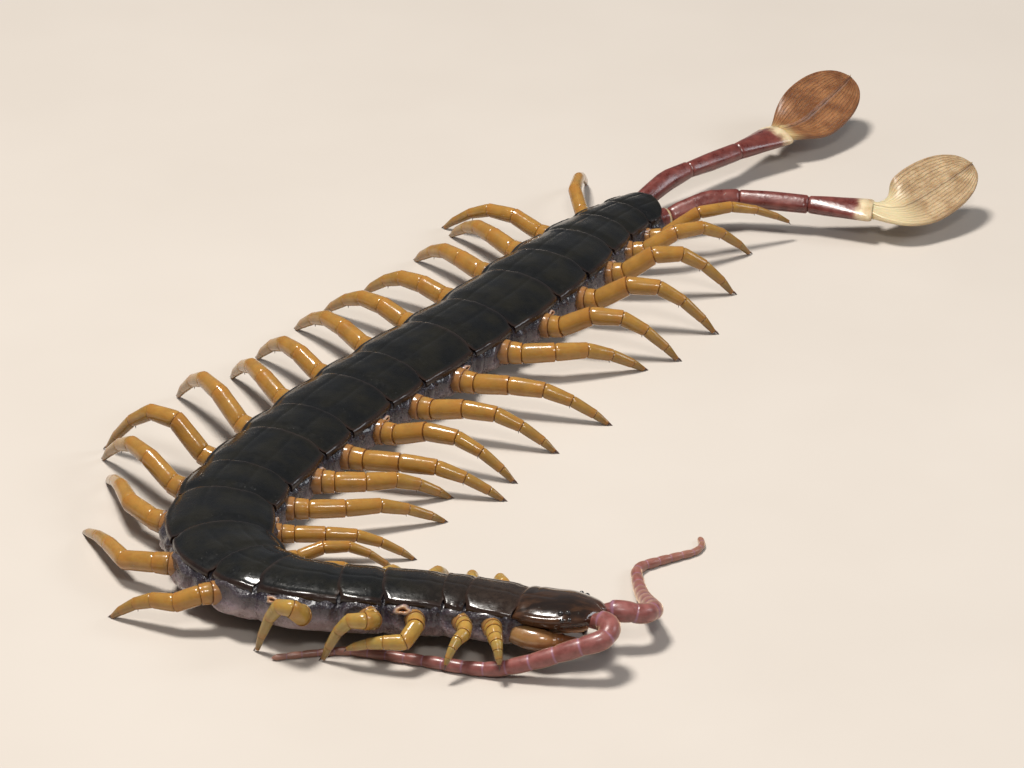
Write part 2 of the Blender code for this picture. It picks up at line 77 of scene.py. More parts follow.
# Legs, feelers and last legs, as in the solids
LEG_LENGTH_SHARES = (0.05, 0.18, 0.31, 0.43, 0.55, 0.65, 0.74, 0.83, 0.90, 0.965, 1.0)
LEG_RADII = (0.92, 1.04, 0.86, 0.9, 0.72, 0.74, 0.55, 0.54, 0.42, 0.3, 0.16)
ANTENNA_ARTICLES = 18
ANTENNA_ROOT_RADIUS = 1.0
ANTENNA_TIP_RADIUS = 0.27
ANTENNA_DESCENT = 14.0
ANTENNA_SHRINK = 0.965
ANTENNA_SPLAY = 14
ANTENNA_BENDS = {
    1: ((1.8, 10), (3.2, 95), (10.4, -6), (2.2, -62), (4.4, -4), (3.6, 90)),
    -1: ((3.5, -147), (8.4, -12), (4.5, -9), (8.0, 5), (2.5, 24), (5.2, 4)),
}
SHANK_TOTAL = 7.4 + 7.0 + 6.2
LEAF_LENGTH = 11.9
LEAF_HALF_WIDTH = 3.4
LEAF_THICKNESS = 0.7
SHANK_BENDS = {1: ((4.0, -10), (5.0, -28), (SHANK_TOTAL - 9.0, 2)), -1: ((6.0, -9), (SHANK_TOTAL - 6.0, 3))}
SHANK_SHARES = (0.0, 0.05, 0.2, 0.345, 0.365, 0.5, 0.68, 0.7, 0.85, 0.985, 1.0)
SHANK_RADII = (0.85, 1.0, 1.08, 0.9, 0.82, 0.95, 1.0, 0.95, 1.45, 2.05, 1.95)
SHANK_FLATS = (1.0, 1.0, 1.0, 1.0, 1.0, 0.95, 0.9, 0.9, 0.62, 0.42, 0.42)
LEAF_TURN = {1: 46.0, -1: 6.0}
SHANK_LEVEL = {1: (3.4, 2.9), -1: (3.5, 3.0)}
LEAF_RISE = {1: 14.0, -1: 13.0}
LEAF_TILT = {1: 26.0, -1: 24.0}
# Each leg from the front: sweep at its root and at its claw in degrees, reach, knee and claw heights
LEG_POSE = {
    1: ((10, 30, 4.8, 2.5, 0), (0, 10, 5.0, 2.3, 0), (-8, -20, 5.6, 2.3, 0), (-12, -34, 5.0, 2.4, 0),
        (-16, -46, 4.4, 2.4, 0), (-14, -40, 6.0, 2.5, 0), (-8, -14, 9.5, 3.3, 0), (0, 4, 11.5, 2.7, 0),
        (14, 34, 13.5, 2.7, 0), (18, 40, 11.5, 2.7, 0), (8, 18, 14.0, 3.0, 0), (4, 12, 12.5, 3.9, 0),
        (8, 20, 12.8, 3.5, 0), (10, 25, 13.8, 3.2, 0), (20, 50, 12.8, 3.0, 0), (10, 28, 12.0, 4.6, 0),
        (8, 24, 12.2, 5.0, 0), (14, 34, 11.4, 5.0, 0), (22, 55, 12.2, 4.4, 0), (24, 56, 14.2, 5.0, 2.0)),
    -1: ((-22, -26, 3.0, 3.6, 2.0), (-28, 26, 4.0, 3.7, 1.8), (-15, 95, 7.5, 3.0, 1.9), (-28, 106, 5.8, 4.8, 0),
         (-30, 106, 5.6, 5.6, 0), (30, 74, 9.3, 2.9, 0), (34, 90, 15.0, 2.3, 0), (30, 72, 14.5, 3.0, 0),
         (16, 40, 13.4, 4.6, 0), (4, 10, 12.2, 6.0, 0), (13, 34, 13.8, 5.0, 0), (13, 34, 11.6, 3.9, 0),
         (8, 22, 11.2, 3.9, 0), (8, 18, 12.0, 3.6, 0), (3, 8, 11.6, 3.6, 0), (2, 6, 10.8, 3.4, 0),
         (9, 24, 11.0, 3.2, 0), (12, 30, 11.2, 3.2, 0), (2, 4, 12.0, 3.6, 0), (26, 64, 12.0, 3.4, 0)),
}

# Finer forms that the solids leave out
PLATE_OVERLAP = 0.32
PLATE_WALL = 0.14
PLATE_ROWS = 22
HALF_PLATE = (0.0, 0.1, 0.2, 0.29, 0.32, 0.35, 0.45, 0.56, 0.66, 0.75, 0.82, 0.87, 0.905, 0.935, 0.965, 0.985,
              1.0, 1.02, 1.045, 1.065, 1.08)
SKIN_FRONT = HEAD_LENGTH - 0.9
SKIN_REAR = 0.9
SKIN_ROWS = 470
SKIN_AROUND = 72
BREATHING_SEGMENTS = (3, 5, 8, 10, 12, 14, 16, 18, 20)
LEG_JOINT_SHARES = (0.07, 0.31, 0.55, 0.74, 0.90, 0.985)
LEG_ROWS = (0.0, 0.03, 0.07, 0.18, 0.38, 0.58, 0.76, 0.88, 0.95, 0.985)
LEG_AROUND = 18
KNEE_SHARE = 0.42
FRONT_LEGS = 5
SHIELD_ROWS = 64
SHIELD_FRONT = -0.3
SHIELD_REAR = 7.3
HALF_SHIELD = (0.0, 0.08, 0.16, 0.24, 0.3, 0.33, 0.36, 0.46, 0.56, 0.66, 0.75, 0.83, 0.89, 0.935, 0.97, 1.0)
HEAD_STOPS = ((SHIELD_FRONT, 2.15, 3.95, 2.8), (0.5, 2.6, 4.25, 2.72), (1.4, 3.02, 4.5, 2.55),
              (2.8, 3.5, 4.75, HEAD_UNDERSIDE), (4.4, HEAD_HALF_WIDTH, HEAD_TOP, HEAD_UNDERSIDE),
              (5.8, 3.75, HEAD_TOP, HEAD_UNDERSIDE), (SHIELD_REAR, 3.35, 4.5, HEAD_UNDERSIDE))
EYE_PLACE = 2.5
OCELLUS_RADIUS = 0.235
OCELLUS_SPREAD = 0.45
LAST_LEG_JOINTS = (0.0, 0.355, 0.69, 1.0)
LEAF_SINK = 0.28
LEAF_ROWS = 44
LEAF_AROUND = 64

# The photograph's camera
VIEW_POINT = Vector((-3.69, -1.05, 0.0))
VIEW_DISTANCE = 575.9
VIEW_ELEVATION = math.radians(27.16)
PIXELS_PER_MM = 10.617
PHOTO_WIDTH = 1024


class Trail:
    """A route over the floor made of arcs, each with its length and its turn to the left."""

    def __init__(self, start, heading, arcs):
        self.knots = [(0.0, start[0], start[1], math.radians(heading))]
        self.arcs = arcs
        for length, turn in arcs:
            s, x, y, h = self.knots[-1]
            self.knots.append((s + length, *self.follow(x, y, h, length, turn, length)))

    @staticmethod
    def follow(x, y, h, length, turn, distance):
        """Place and direction after a distance along one arc."""
        bend = math.radians(turn) / length
        if abs(bend) < 1e-6:
            return x + distance * math.cos(h), y + distance * math.sin(h), h
        end = h + bend * distance
        return x + (math.sin(end) - math.sin(h)) / bend, y + (math.cos(h) - math.cos(end)) / bend, end

    def length(self):
        return self.knots[-1][0]

    def at(self, s):
        """Place and direction of travel, s along the route."""
        number = len(self.arcs) - 1
        while number > 0 and s < self.knots[number][0]:
            number -= 1
        start, x, y, h = self.knots[number]
        length, turn = self.arcs[number]
        return self.follow(x, y, h, length, turn, s - start)


def smooth(value, low, high):
    """0 below low, 1 above high, and an even curve between."""
    t = min(max((value - low) / (high - low), 0.0), 1.0)
    return t * t * (3 - 2 * t)


def bump(value, middle, width):
    """A rounded hill of height 1 at middle."""
    return math.exp(-((value - middle) / width) ** 2)


def blend(value, stops):
    """Amount or point read from a few (place, amount) stops with straight runs between them."""
    for (x0, y0), (x1, y1) in zip(stops, stops[1:]):
        if value <= x1:
            return y0 + (y1 - y0) * max(value - x0, 0.0) / (x1 - x0)
    return stops[-1][1]


def run_at(value, stops):
    """Number of the run between two stops that a value falls in."""
    return max(i for i in range(len(stops) - 1) if value >= stops[i][0] or i == 0)


def curve(points, i, t):
    """Numbers at a share t of the way from point i to the next, on a smooth curve through all points."""
    near = points[max(i - 1, 0)], points[i], points[i + 1], points[min(i + 2, len(points) - 1)]
    return [0.5 * (2 * b + (c - a) * t + (2 * a - 5 * b + 4 * c - d) * t * t + (3 * b - a - 3 * c + d) * t ** 3)
            for a, b, c, d in zip(*near)]


def smooth_route(points, count):
    """Points evenly spread in share on a smooth curve through a few points."""
    last = len(points) - 1
    places = [k / count * last for k in range(count + 1)]
    return [curve(points, min(int(t), last - 1), t - min(int(t), last - 1)) for t in places]


def flatter(value, power):
    """A sine or cosine raised to a power with its sign kept, for a squarer section."""
    return math.copysign(abs(value) ** power, value)


def mirrored(half):
    """Places from the middle out, and the same on the other side."""
    return [-x for x in reversed(half[1:])] + list(half)


BODY = Trail(HEAD_FRONT, HEAD_HEADING,
             [(HEAD_LENGTH, HEAD_TURN)] + list(zip(SEGMENT_LENGTHS, SEGMENT_TURNS)))


def segment_start(number):
    """Where a segment begins, along the body."""
    return BODY.knots[number][0]


def coxa_place(number):
    """Where a segment's legs join it, along the body."""
    return segment_start(number) + COXA_PLACE * SEGMENT_LENGTHS[number - 1]


def girth(s):
    """Width of the body at s as a share of its full width, less at the neck and the rear end."""
    return 0.8 + 0.2 * smooth(s, 8, 42) - 0.34 * smooth(s, 98, 123)


def height(s):
    """Height of the body at s."""
    return HEIGHT * (0.88 + 0.12 * smooth(s, 4, 24) - 0.38 * smooth(s, 98, 123))


def roll(s):
    """How far the front of the body leans over at s."""
    return math.radians(FRONT_ROLL) * (1 - smooth(s, 24, 44))


def body_point(s, a, b):
    """World place of a point of the body section at s: a to the animal's left, b up from its belly."""
    x, y, h = BODY.at(s)
    lean = roll(s)
    middle = height(s) / 2
    across = a * math.cos(lean) + (b - middle) * math.sin(lean)
    up = -a * math.sin(lean) + (b - middle) * math.cos(lean) + middle
    lift = BELLY + 0.5 * HALF_WIDTH * girth(s) * math.sin(lean)
    return Vector((x + across * math.sin(h), y - across * math.cos(h), up + lift))


def body_direction(s, back, left, up):
    """World direction of a direction given as parts towards the tail, the left side and the top."""
    h = BODY.at(s)[2]
    lean = roll(s)
    across = left * math.cos(lean) + up * math.sin(lean)
    rise = up * math.cos(lean) - left * math.sin(lean)
    return Vector((back * math.cos(h) + across * math.sin(h),
                   back * math.sin(h) - across * math.cos(h), rise)).normalized()


def rough(point, scale, seed=0.0):
    """Smooth random value from -1 to 1 at a point given in millimetres."""
    return noise.noise(point * scale + Vector((seed, seed * 0.7, seed * 1.3)))


# Mesh making

def new_bmesh(*marks):
    """An empty mesh with a UV map, and a number on each corner for every mark."""
    bm = bmesh.new()
    bm.loops.layers.uv.new("along")
    for mark in marks:
        bm.verts.layers.float.new(mark)
    return bm


def sheet(bm, place, along, around):
    """Add along by around faces. place(u, v) gives a corner's point, or its point and its marks."""
    layers = bm.verts.layers.float.values()
    made = bmesh.ops.create_grid(bm, x_segments=along, y_segments=around, size=0.5, calc_uvs=True)["verts"]
    for vert in made:
        spot = place(vert.co.x + 0.5, vert.co.y + 0.5)
        vert.co, *marks = spot if isinstance(spot, tuple) else (spot,)
        for layer, mark in zip(layers, marks):
            vert[layer] = mark
    return made


def tube(bm, place, along, around):
    """A sheet whose long edges meet, closed at both ends."""
    made = sheet(bm, place, along, around)
    bmesh.ops.remove_doubles(bm, verts=made, dist=1e-4)
    bmesh.ops.holes_fill(bm, edges=[edge for edge in bm.edges if edge.is_boundary], sides=0)


def walled(bm, made, outward):
    """Give a sheet its wall on the inner side. Outward is 1 where the sheet faces up and -1 where down."""
    faces = list(dict.fromkeys(face for vert in made for face in vert.link_faces))
    bmesh.ops.recalc_face_normals(bm, faces=faces)
    if outward * sum(face.normal.z for face in faces) < 0:
        bmesh.ops.reverse_faces(bm, faces=faces)
    bmesh.ops.solidify(bm, geom=faces, thickness=PLATE_WALL)


def piece(name, bm, *finishes, nodes=(), slot=None, sharp=60, faced=False):
    """Make the finished object in metres, riding on the body, in place of the solids' nodes."""
    if not faced:
        bmesh.ops.recalc_face_normals(bm, faces=bm.faces)
    bmesh.ops.scale(bm, vec=(MM, MM, MM), verts=bm.verts)
    mesh = bpy.data.meshes.new(name)
    bm.to_mesh(mesh)
    bm.free()
    mesh.shade_smooth()
    mesh.set_sharp_from_angle(angle=math.radians(sharp))
    for finish in finishes:
        mesh.materials.append(finish)
    made = bpy.data.objects.new(name, mesh)
    bpy.context.scene.collection.objects.link(made)
    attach(made, "root")
    if nodes:
        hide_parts(*nodes)


def ring_frame(direction, up=UP):
    """Side and top directions of a ring that faces along direction."""
    side = direction.cross(up).normalized()
    return side, side.cross(direction).normalized()


def ring_point(centre, direction, v, wide, deep, up=UP):
    """Point v of the way round an oval ring that faces along direction."""
    side, top = ring_frame(direction, up)
    return centre + side * (wide * math.cos(math.tau * v)) + top * (deep * math.sin(math.tau * v))


def swept(bm, spots, around, flat=1.0):
    """A tube through spots of centre and radius, and a mark where there is one."""
    last = len(spots) - 1

    def place(u, v):
        index = round(u * last)
        centre, radius, *marks = spots[index]
        way = spots[min(index + 1, last)][0] - spots[max(index - 1, 0)][0]
        return ring_point(centre, way.normalized(), v, radius, radius * flat), *marks
    tube(bm, place, last, around)


# Shader maths

class Amount:
    """A socket that carries a number, with the arithmetic that adds its Math nodes."""

    def __init__(self, recipe, socket):
        self.recipe = recipe
        self.socket = socket

    def maths(self, operation, *values):
        made = self.recipe.node("ShaderNodeMath", {"operation": operation}, dict(enumerate(values)))
        return Amount(self.recipe, made.outputs[0])

    def __add__(self, other):
        return self.maths("ADD", self, other)

    def __sub__(self, other):
        return self.maths("SUBTRACT", self, other)

    def __rsub__(self, other):
        return self.maths("SUBTRACT", other, self)

    def __mul__(self, other):
        return self.maths("MULTIPLY", self, other)

    def __truediv__(self, other):
        return self.maths("DIVIDE", self, other)

    __radd__ = __add__
    __rmul__ = __mul__

    def fraction(self):
        return self.maths("FRACT", self)

    def least(self, other):
        return self.maths("MINIMUM", self, other)

    def size(self):
        return self.maths("ABSOLUTE", self)

    def ramp(self, low, high, start=0.0, end=1.0):
        """Smooth step from start to end as the value goes from low to high."""
        values = {"Value": self, "From Min": low, "From Max": high, "To Min": start, "To Max": end}
        made = self.recipe.node("ShaderNodeMapRange", {"interpolation_type": "SMOOTHSTEP"}, values)
        return Amount(self.recipe, made.outputs["Result"])


class Recipe:
    """One material, built a node at a time round its Principled shader."""

    def __init__(self, name, coat=(), flesh=(), **uniform):
        """Coat is its weight and roughness. Flesh is the weight, depth and colours' reach of light in it."""
        uniform.update(zip(("coat_weight", "coat_roughness"), coat))
        uniform.update(zip(("subsurface_weight", "subsurface_scale", "subsurface_radius"), flesh))
        self.material = bpy.data.materials.new(name)
        self.material.use_nodes = True
        self.tree = self.material.node_tree
        self.shader = self.tree.nodes["Principled BSDF"]
        for words, value in uniform.items():
            self.shader.inputs[words.replace("_", " ").title().replace("Ior", "IOR")].default_value = value
        self.place = self.node("ShaderNodeTexCoord").outputs["Object"]

    def node(self, kind, settings=None, inputs=None):
        made = self.tree.nodes.new(kind)
        for key, value in (settings or {}).items():
            if key == "stops":
                self.set_stops(made.color_ramp, value)
            else:
                setattr(made, key, value)
        for key, value in (inputs or {}).items():
            self.feed(made.inputs[key], value)
        return made

    @staticmethod
    def set_stops(ramp, stops):
        while len(ramp.elements) < len(stops):
            ramp.elements.new(1.0)
        for element, (position, colour) in zip(ramp.elements, stops):
            element.position = position
            element.color = (*colour, 1)

    def feed(self, socket, value):
        if isinstance(value, Amount):
            value = value.socket
        if isinstance(value, bpy.types.NodeSocket):
            self.tree.links.new(value, socket)
        else:
            socket.default_value = value

    def along(self):
        """The piece's own UV map: u along it and v round it."""
        whole = self.node("ShaderNodeUVMap", {"uv_map": "along"}).outputs[0]
        parts = self.node("ShaderNodeSeparateXYZ", None, {0: whole})
        return Amount(self, parts.outputs[0]), Amount(self, parts.outputs[1])

    def attribute(self, name):
        return Amount(self, self.node("ShaderNodeAttribute", {"attribute_name": name}).outputs["Fac"])

    def noise(self, size, detail=3.0, roughness=0.55, place=None, distortion=0.0):
        """Noise with features about size millimetres across, from 0 to 1."""
        values = {"Vector": place or self.place, "Scale": 1 / (size * MM), "Detail": detail,
                  "Roughness": roughness, "Distortion": distortion}
        return Amount(self, self.node("ShaderNodeTexNoise", None, values).outputs["Fac"])

    def cells(self, size):
        """Distance from the middles of random cells about size millimetres across."""
        made = self.node("ShaderNodeTexVoronoi", None, {"Vector": self.place, "Scale": 1 / (size * MM)})
        return Amount(self, made.outputs["Distance"])

    def stretched(self, x, y, z):
        """Object coordinates stretched, for a pattern that is longer one way."""
        return self.node("ShaderNodeMapping", None, {"Vector": self.place, "Scale": (x, y, z)}).outputs[0]

    def mix(self, amount, first, second):
        made = self.node("ShaderNodeMix", {"data_type": "RGBA"})
        self.feed(made.inputs[0], amount)
        for socket, colour in ((made.inputs[6], first), (made.inputs[7], second)):
            self.feed(socket, (*colour, 1) if isinstance(colour, tuple) else colour)
        return made.outputs[2]

    def colours(self, amount, *stops):
        return self.node("ShaderNodeValToRGB", {"stops": stops}, {"Fac": amount}).outputs["Color"]

    def finish(self, colour, roughness=None, relief=None, depth=0.1):
        """Join what varies to the shader. Depth is the height of the relief in millimetres."""
        self.feed(self.shader.inputs["Base Color"], colour)
        if roughness:
            self.feed(self.shader.inputs["Roughness"], roughness)
        if relief:
            values = {"Height": relief, "Distance": depth * MM, "Strength": 1.0}
            self.feed(self.shader.inputs["Normal"], self.node("ShaderNodeBump", None, values).outputs[0])
        return self.material


def darker(colour, share):
    return tuple(part * share for part in colour)


def shell_finish():
    """Blue-black, faintly olive plates, browner at the front and at their margins."""
    recipe = Recipe("back_plate_shell", (0.4, 0.07), specular_ior_level=0.22)
    reach = recipe.attribute("reach")
    margin = recipe.attribute("margin")
    cloud = recipe.noise(2.6, 3)
    fine = recipe.noise(0.5, 4, 0.6)
    dark = recipe.mix(cloud.ramp(0.35, 0.7), (0.005, 0.0055, 0.006), (0.0105, 0.0098, 0.0072))
    front = recipe.mix(fine.ramp(0.3, 0.7), (0.02, 0.012, 0.009), (0.034, 0.02, 0.013))
    colour = recipe.mix(reach.ramp(0.055, 0.16, 0.85, 0.0), dark, front)
    colour = recipe.mix(margin * cloud.ramp(0.2, 0.8, 0.2, 0.6), colour, (0.045, 0.02, 0.014))
    waves = recipe.noise(1.5, 2, 0.5, recipe.stretched(1.0, 1.0, 0.4))
    relief = recipe.cells(0.42).ramp(0.0, 0.22) * 0.35 + recipe.noise(0.22, 2, 0.5) * 0.25 + waves * 0.9
    return recipe.finish(colour, fine.ramp(0.2, 0.8, 0.2, 0.38), relief, 0.05)


def head_finish():
    """Dark brown glossy shield with amber light through its margins."""
    recipe = Recipe("head_shield_shell", (0.6, 0.05), specular_ior_level=0.25)
    u = recipe.along()[0]
    edge = recipe.attribute("margin")
    streak = recipe.noise(1.3, 4, 0.6, recipe.stretched(0.5, 1.6, 1.0), 0.6)
    dark = recipe.mix(streak.ramp(0.35, 0.72), (0.014, 0.0085, 0.0065), (0.05, 0.022, 0.010))
    front = recipe.mix(u.ramp(0.0, 0.3, 0.7, 0.0), dark, (0.09, 0.032, 0.018))
    colour = recipe.mix(edge * streak.ramp(0.3, 0.7, 0.15, 0.6), front, (0.12, 0.05, 0.022))
    relief = recipe.cells(0.5).ramp(0.0, 0.16) * 0.4 + recipe.noise(0.9, 2) * 0.7
    return recipe.finish(colour, streak.ramp(0.3, 0.8, 0.16, 0.3), relief, 0.035)


def soft_side_finish():
    """Purple-grey soft skin, lilac where its folds stretch, paler and browner low down."""
    recipe = Recipe("soft_side_skin", (0.6, 0.13), (0.35, 0.0006, (1.0, 0.55, 0.6)))
    level = recipe.attribute("level")
    fold = recipe.attribute("fold")
    pale = recipe.attribute("pale")
    cloud = recipe.noise(1.1, 4, 0.6)
    base = recipe.colours(level, (0.0, (0.22, 0.155, 0.125)), (0.18, (0.15, 0.1, 0.095)),
                          (0.36, (0.055, 0.037, 0.05)), (0.58, (0.02, 0.015, 0.024)),
                          (1.0, (0.012, 0.01, 0.014)))
    lilac = recipe.mix(cloud.ramp(0.3, 0.7), (0.12, 0.09, 0.125), (0.24, 0.185, 0.23))
    low = level.ramp(0.15, 0.56, 1.0, 0.14)
    colour = recipe.mix(fold * low * cloud.ramp(0.3, 0.75, 0.0, 0.8), base, lilac)
    colour = recipe.mix(pale * low * cloud.ramp(0.2, 0.7, 0.35, 0.95), colour, (0.36, 0.27, 0.28))
    wrinkles = recipe.noise(0.42, 3, 0.6, None, 1.4)
    beads = recipe.cells(0.34).ramp(0.0, 0.5, 1.0, 0.0)
    return recipe.finish(colour, cloud.ramp(0.3, 0.75, 0.22, 0.42), wrinkles + beads * 0.45, 0.13)


def belly_finish():
    """Tan belly plates, greyer at their margins."""
    recipe = Recipe("belly_plate_shell", (0.35, 0.18))
    cloud = recipe.noise(1.6, 4)
    colour = recipe.mix(cloud.ramp(0.3, 0.7), (0.12, 0.085, 0.06), (0.22, 0.15, 0.095))
    colour = recipe.mix(recipe.attribute("margin") * 0.7, colour, (0.06, 0.04, 0.045))
    relief = recipe.cells(0.4).ramp(0.0, 0.2) * 0.4 + recipe.noise(0.9, 2)
    return recipe.finish(colour, cloud.ramp(0.3, 0.7, 0.26, 0.4), relief, 0.04)


def leg_finish(name, root, middle, end):
    """Wet amber cuticle, article by article, with red-brown joints and a brown tip."""
    recipe = Recipe(name, (0.4, 0.08), (0.3, 0.0007, (1.0, 0.5, 0.2)), coat_ior=1.4, specular_ior_level=0.35)
    part = recipe.attribute("part")
    article = part.fraction()
    near = article.least(1 - article)
    cloud = recipe.noise(1.2, 4, 0.6)
    speck = recipe.noise(0.35, 3, 0.6)
    colour = recipe.colours(part / 7, (0.0, (0.1, 0.06, 0.07)), (0.1, (0.17, 0.1, 0.07)), (0.2, root),
                            (0.45, root), (0.64, middle), (0.86, end), (1.0, darker(end, 0.5)))
    colour = recipe.mix(cloud.ramp(0.3, 0.75, 0.0, 0.55), colour, darker(middle, 0.6))
    grain = recipe.noise(0.5, 3, 0.6, recipe.stretched(0.6, 1.0, 1.6))
    colour = recipe.mix(grain.ramp(0.45, 0.75, 0.0, 0.35), colour, (0.3, 0.11, 0.02))
    colour = recipe.mix(article.ramp(0.55, 0.97, 0.0, 0.38), colour, (0.36, 0.14, 0.025))
    joint = near.ramp(0.0, 0.035, 1.0, 0.0)
    colour = recipe.mix(joint * speck.ramp(0.25, 0.6, 0.35, 0.9), colour, (0.13, 0.042, 0.014))
    relief = recipe.noise(0.5, 3) * 0.6 + recipe.cells(0.4).ramp(0.0, 0.12) * 0.25
    return recipe.finish(colour, cloud.ramp(0.3, 0.8, 0.14, 0.3), relief, 0.03)


def claw_finish():
    """Brown horn that darkens towards its point."""
    recipe = Recipe("claw_horn", (0.5, 0.1))
    colour = recipe.colours(recipe.along()[0], (0.0, (0.2, 0.08, 0.025)), (0.35, (0.09, 0.03, 0.012)),
                            (1.0, (0.012, 0.006, 0.005)))
    return recipe.finish(colour, recipe.noise(0.3).ramp(0.3, 0.7, 0.16, 0.3))


def feeler_finish():
    """Dusty rose articles with lilac joints under a pale gold velvet."""
    recipe = Recipe("feeler_velvet", (0.25, 0.22), (0.25, 0.0005, (1.0, 0.45, 0.4)),
                    sheen_weight=0.9, sheen_roughness=0.3, sheen_tint=(1.0, 0.72, 0.45, 1))
    part = recipe.attribute("part")
    article = part.fraction()
    near = article.least(1 - article)
    cloud = recipe.noise(0.8, 4)
    rose = recipe.mix(cloud.ramp(0.3, 0.7), (0.18, 0.052, 0.046), (0.27, 0.09, 0.08))
    colour = recipe.mix(part.ramp(5.0, 18.0, 0.0, 0.6), rose, (0.3, 0.16, 0.1))
    colour = recipe.mix(near.ramp(0.0, 0.065, 0.65, 0.0), colour, (0.3, 0.16, 0.25))
    velvet = recipe.cells(0.1).ramp(0.0, 0.5, 1.0, 0.0)
    return recipe.finish(colour, cloud.ramp(0.3, 0.7, 0.3, 0.42), velvet * 0.5 + recipe.noise(0.5) * 0.5, 0.012)


def jaw_finish():
    """Pale amber poison jaws that darken to a black-brown fang."""
    recipe = Recipe("jaw_cuticle", (0.6, 0.1), (0.3, 0.0008, (1.0, 0.5, 0.25)))
    u, v = recipe.along()
    cloud = recipe.noise(1.0, 4)
    colour = recipe.colours(u, (0.0, (0.2, 0.11, 0.06)), (0.25, (0.33, 0.185, 0.07)),
                            (0.5, (0.34, 0.16, 0.055)), (0.64, (0.18, 0.06, 0.02)),
                            (0.8, (0.05, 0.015, 0.008)), (1.0, (0.01, 0.005, 0.004)))
    colour = recipe.mix(cloud.ramp(0.35, 0.75, 0.0, 0.45), colour, (0.2, 0.085, 0.03))
    under = (v * 2).fraction().ramp(0.2, 0.8, 0.0, 0.3)
    colour = recipe.mix(under * cloud, colour, (0.16, 0.09, 0.08))
    relief = recipe.noise(0.5, 3) + recipe.cells(0.45).ramp(0.0, 0.14) * 0.35
    return recipe.finish(colour, cloud.ramp(0.3, 0.8, 0.16, 0.3), relief, 0.04)


def mouth_finish():
    """Brown-amber mouth parts and jaw plate."""
    recipe = Recipe("mouth_part_cuticle", (0.3, 0.2), (0.25, 0.0006))
    cloud = recipe.noise(0.7, 4)
    colour = recipe.mix(cloud.ramp(0.3, 0.7), (0.26, 0.13, 0.06), (0.4, 0.22, 0.11))
    return recipe.finish(colour, cloud.ramp(0.3, 0.7, 0.28, 0.42), recipe.noise(0.3, 3), 0.03)


def lens_finish():
    """Polished black lenses."""
    recipe = Recipe("ocellus_lens", (1.0, 0.02), specular_ior_level=0.7)
    tone = recipe.noise(0.4)
    colour = recipe.mix(tone, (0.004, 0.003, 0.004), (0.012, 0.007, 0.007))
    return recipe.finish(colour, tone.ramp(0.3, 0.7, 0.04, 0.09))


def spiracle_finish():
    """Cream rim, orange inside it, and the dark slit of a breathing hole: painted shade where the hole opens,
    as the mesh there is only a shallow dip.
    """
    recipe = Recipe("breathing_hole", (0.3, 0.2), (0.2, 0.0004))
    cloud = recipe.noise(0.3, 4)
    # The first two stops, near-black in the middle, are painted shade inside the hole's opening.
    colour = recipe.colours(recipe.along()[0], (0.0, (0.01, 0.005, 0.005)), (0.22, (0.02, 0.009, 0.006)),
                            (0.34, (0.3, 0.1, 0.022)), (0.48, (0.42, 0.27, 0.15)), (0.62, (0.34, 0.25, 0.22)),
                            (0.8, (0.06, 0.045, 0.06)), (1.0, (0.03, 0.024, 0.034)))
    colour = recipe.mix(cloud.ramp(0.4, 0.8, 0.0, 0.5), colour, (0.3, 0.16, 0.09))
    return recipe.finish(colour, cloud.ramp(0.3, 0.7, 0.25, 0.45), cloud, 0.04)


def shank_finish():
    """Maroon last legs with dusky joints and a cream end."""
    recipe = Recipe("last_leg_cuticle", (0.4, 0.18), (0.2, 0.0006, (1.0, 0.35, 0.3)))
    u = recipe.along()[0]
    cloud = recipe.noise(1.3, 4, 0.6)
    red = recipe.mix(cloud.ramp(0.3, 0.75), (0.1, 0.018, 0.014), (0.2, 0.052, 0.04))
    article = (u * 3).fraction()
    red = recipe.mix(article.least(1 - article).ramp(0.01, 0.07, 0.8, 0.0), red, (0.05, 0.012, 0.012))
    cream = recipe.mix(cloud.ramp(0.3, 0.7), (0.5, 0.36, 0.2), (0.68, 0.56, 0.36))
    colour = recipe.mix((u + cloud * 0.06).ramp(0.905, 0.945), red, cream)
    relief = recipe.noise(0.6, 3) + recipe.cells(0.35).ramp(0.0, 0.14) * 0.4
    return recipe.finish(colour, cloud.ramp(0.3, 0.8, 0.26, 0.44), relief, 0.05)


def leaf_finish(name, dark, pale, root, spread):
    """Thin horny leaf with lengthwise veins, cream where it leaves the leg."""
    recipe = Recipe(name, (0.2, 0.3), (0.3, 0.0009, (1.0, 0.5, 0.25)))
    u = recipe.along()[0]
    across = recipe.attribute("across")
    cloud = recipe.noise(1.6, 4, 0.6)
    horn = recipe.mix(cloud.ramp(0.3, 0.72), dark, pale)
    fine = recipe.noise(0.7, 4, 0.6)
    veins = (across * 9 + fine * 0.7).fraction()
    veins = veins.least(1 - veins).ramp(0.0, 0.24, 1.0, 0.0)
    horn = recipe.mix(veins * fine.ramp(0.3, 0.7, 0.1, 0.5), horn, darker(dark, 0.5))
    horn = recipe.mix(across.size().ramp(0.8, 1.0) * 0.5, horn, darker(dark, 0.7))
    colour = recipe.mix((u + cloud * 0.12).ramp(spread, spread + 0.2, 0.9, 0.0), horn, root)
    relief = veins * 0.8 + recipe.noise(0.5, 3) * 0.8
    return recipe.finish(colour, cloud.ramp(0.3, 0.8, 0.34, 0.55), relief, 0.06)


# Trunk plates

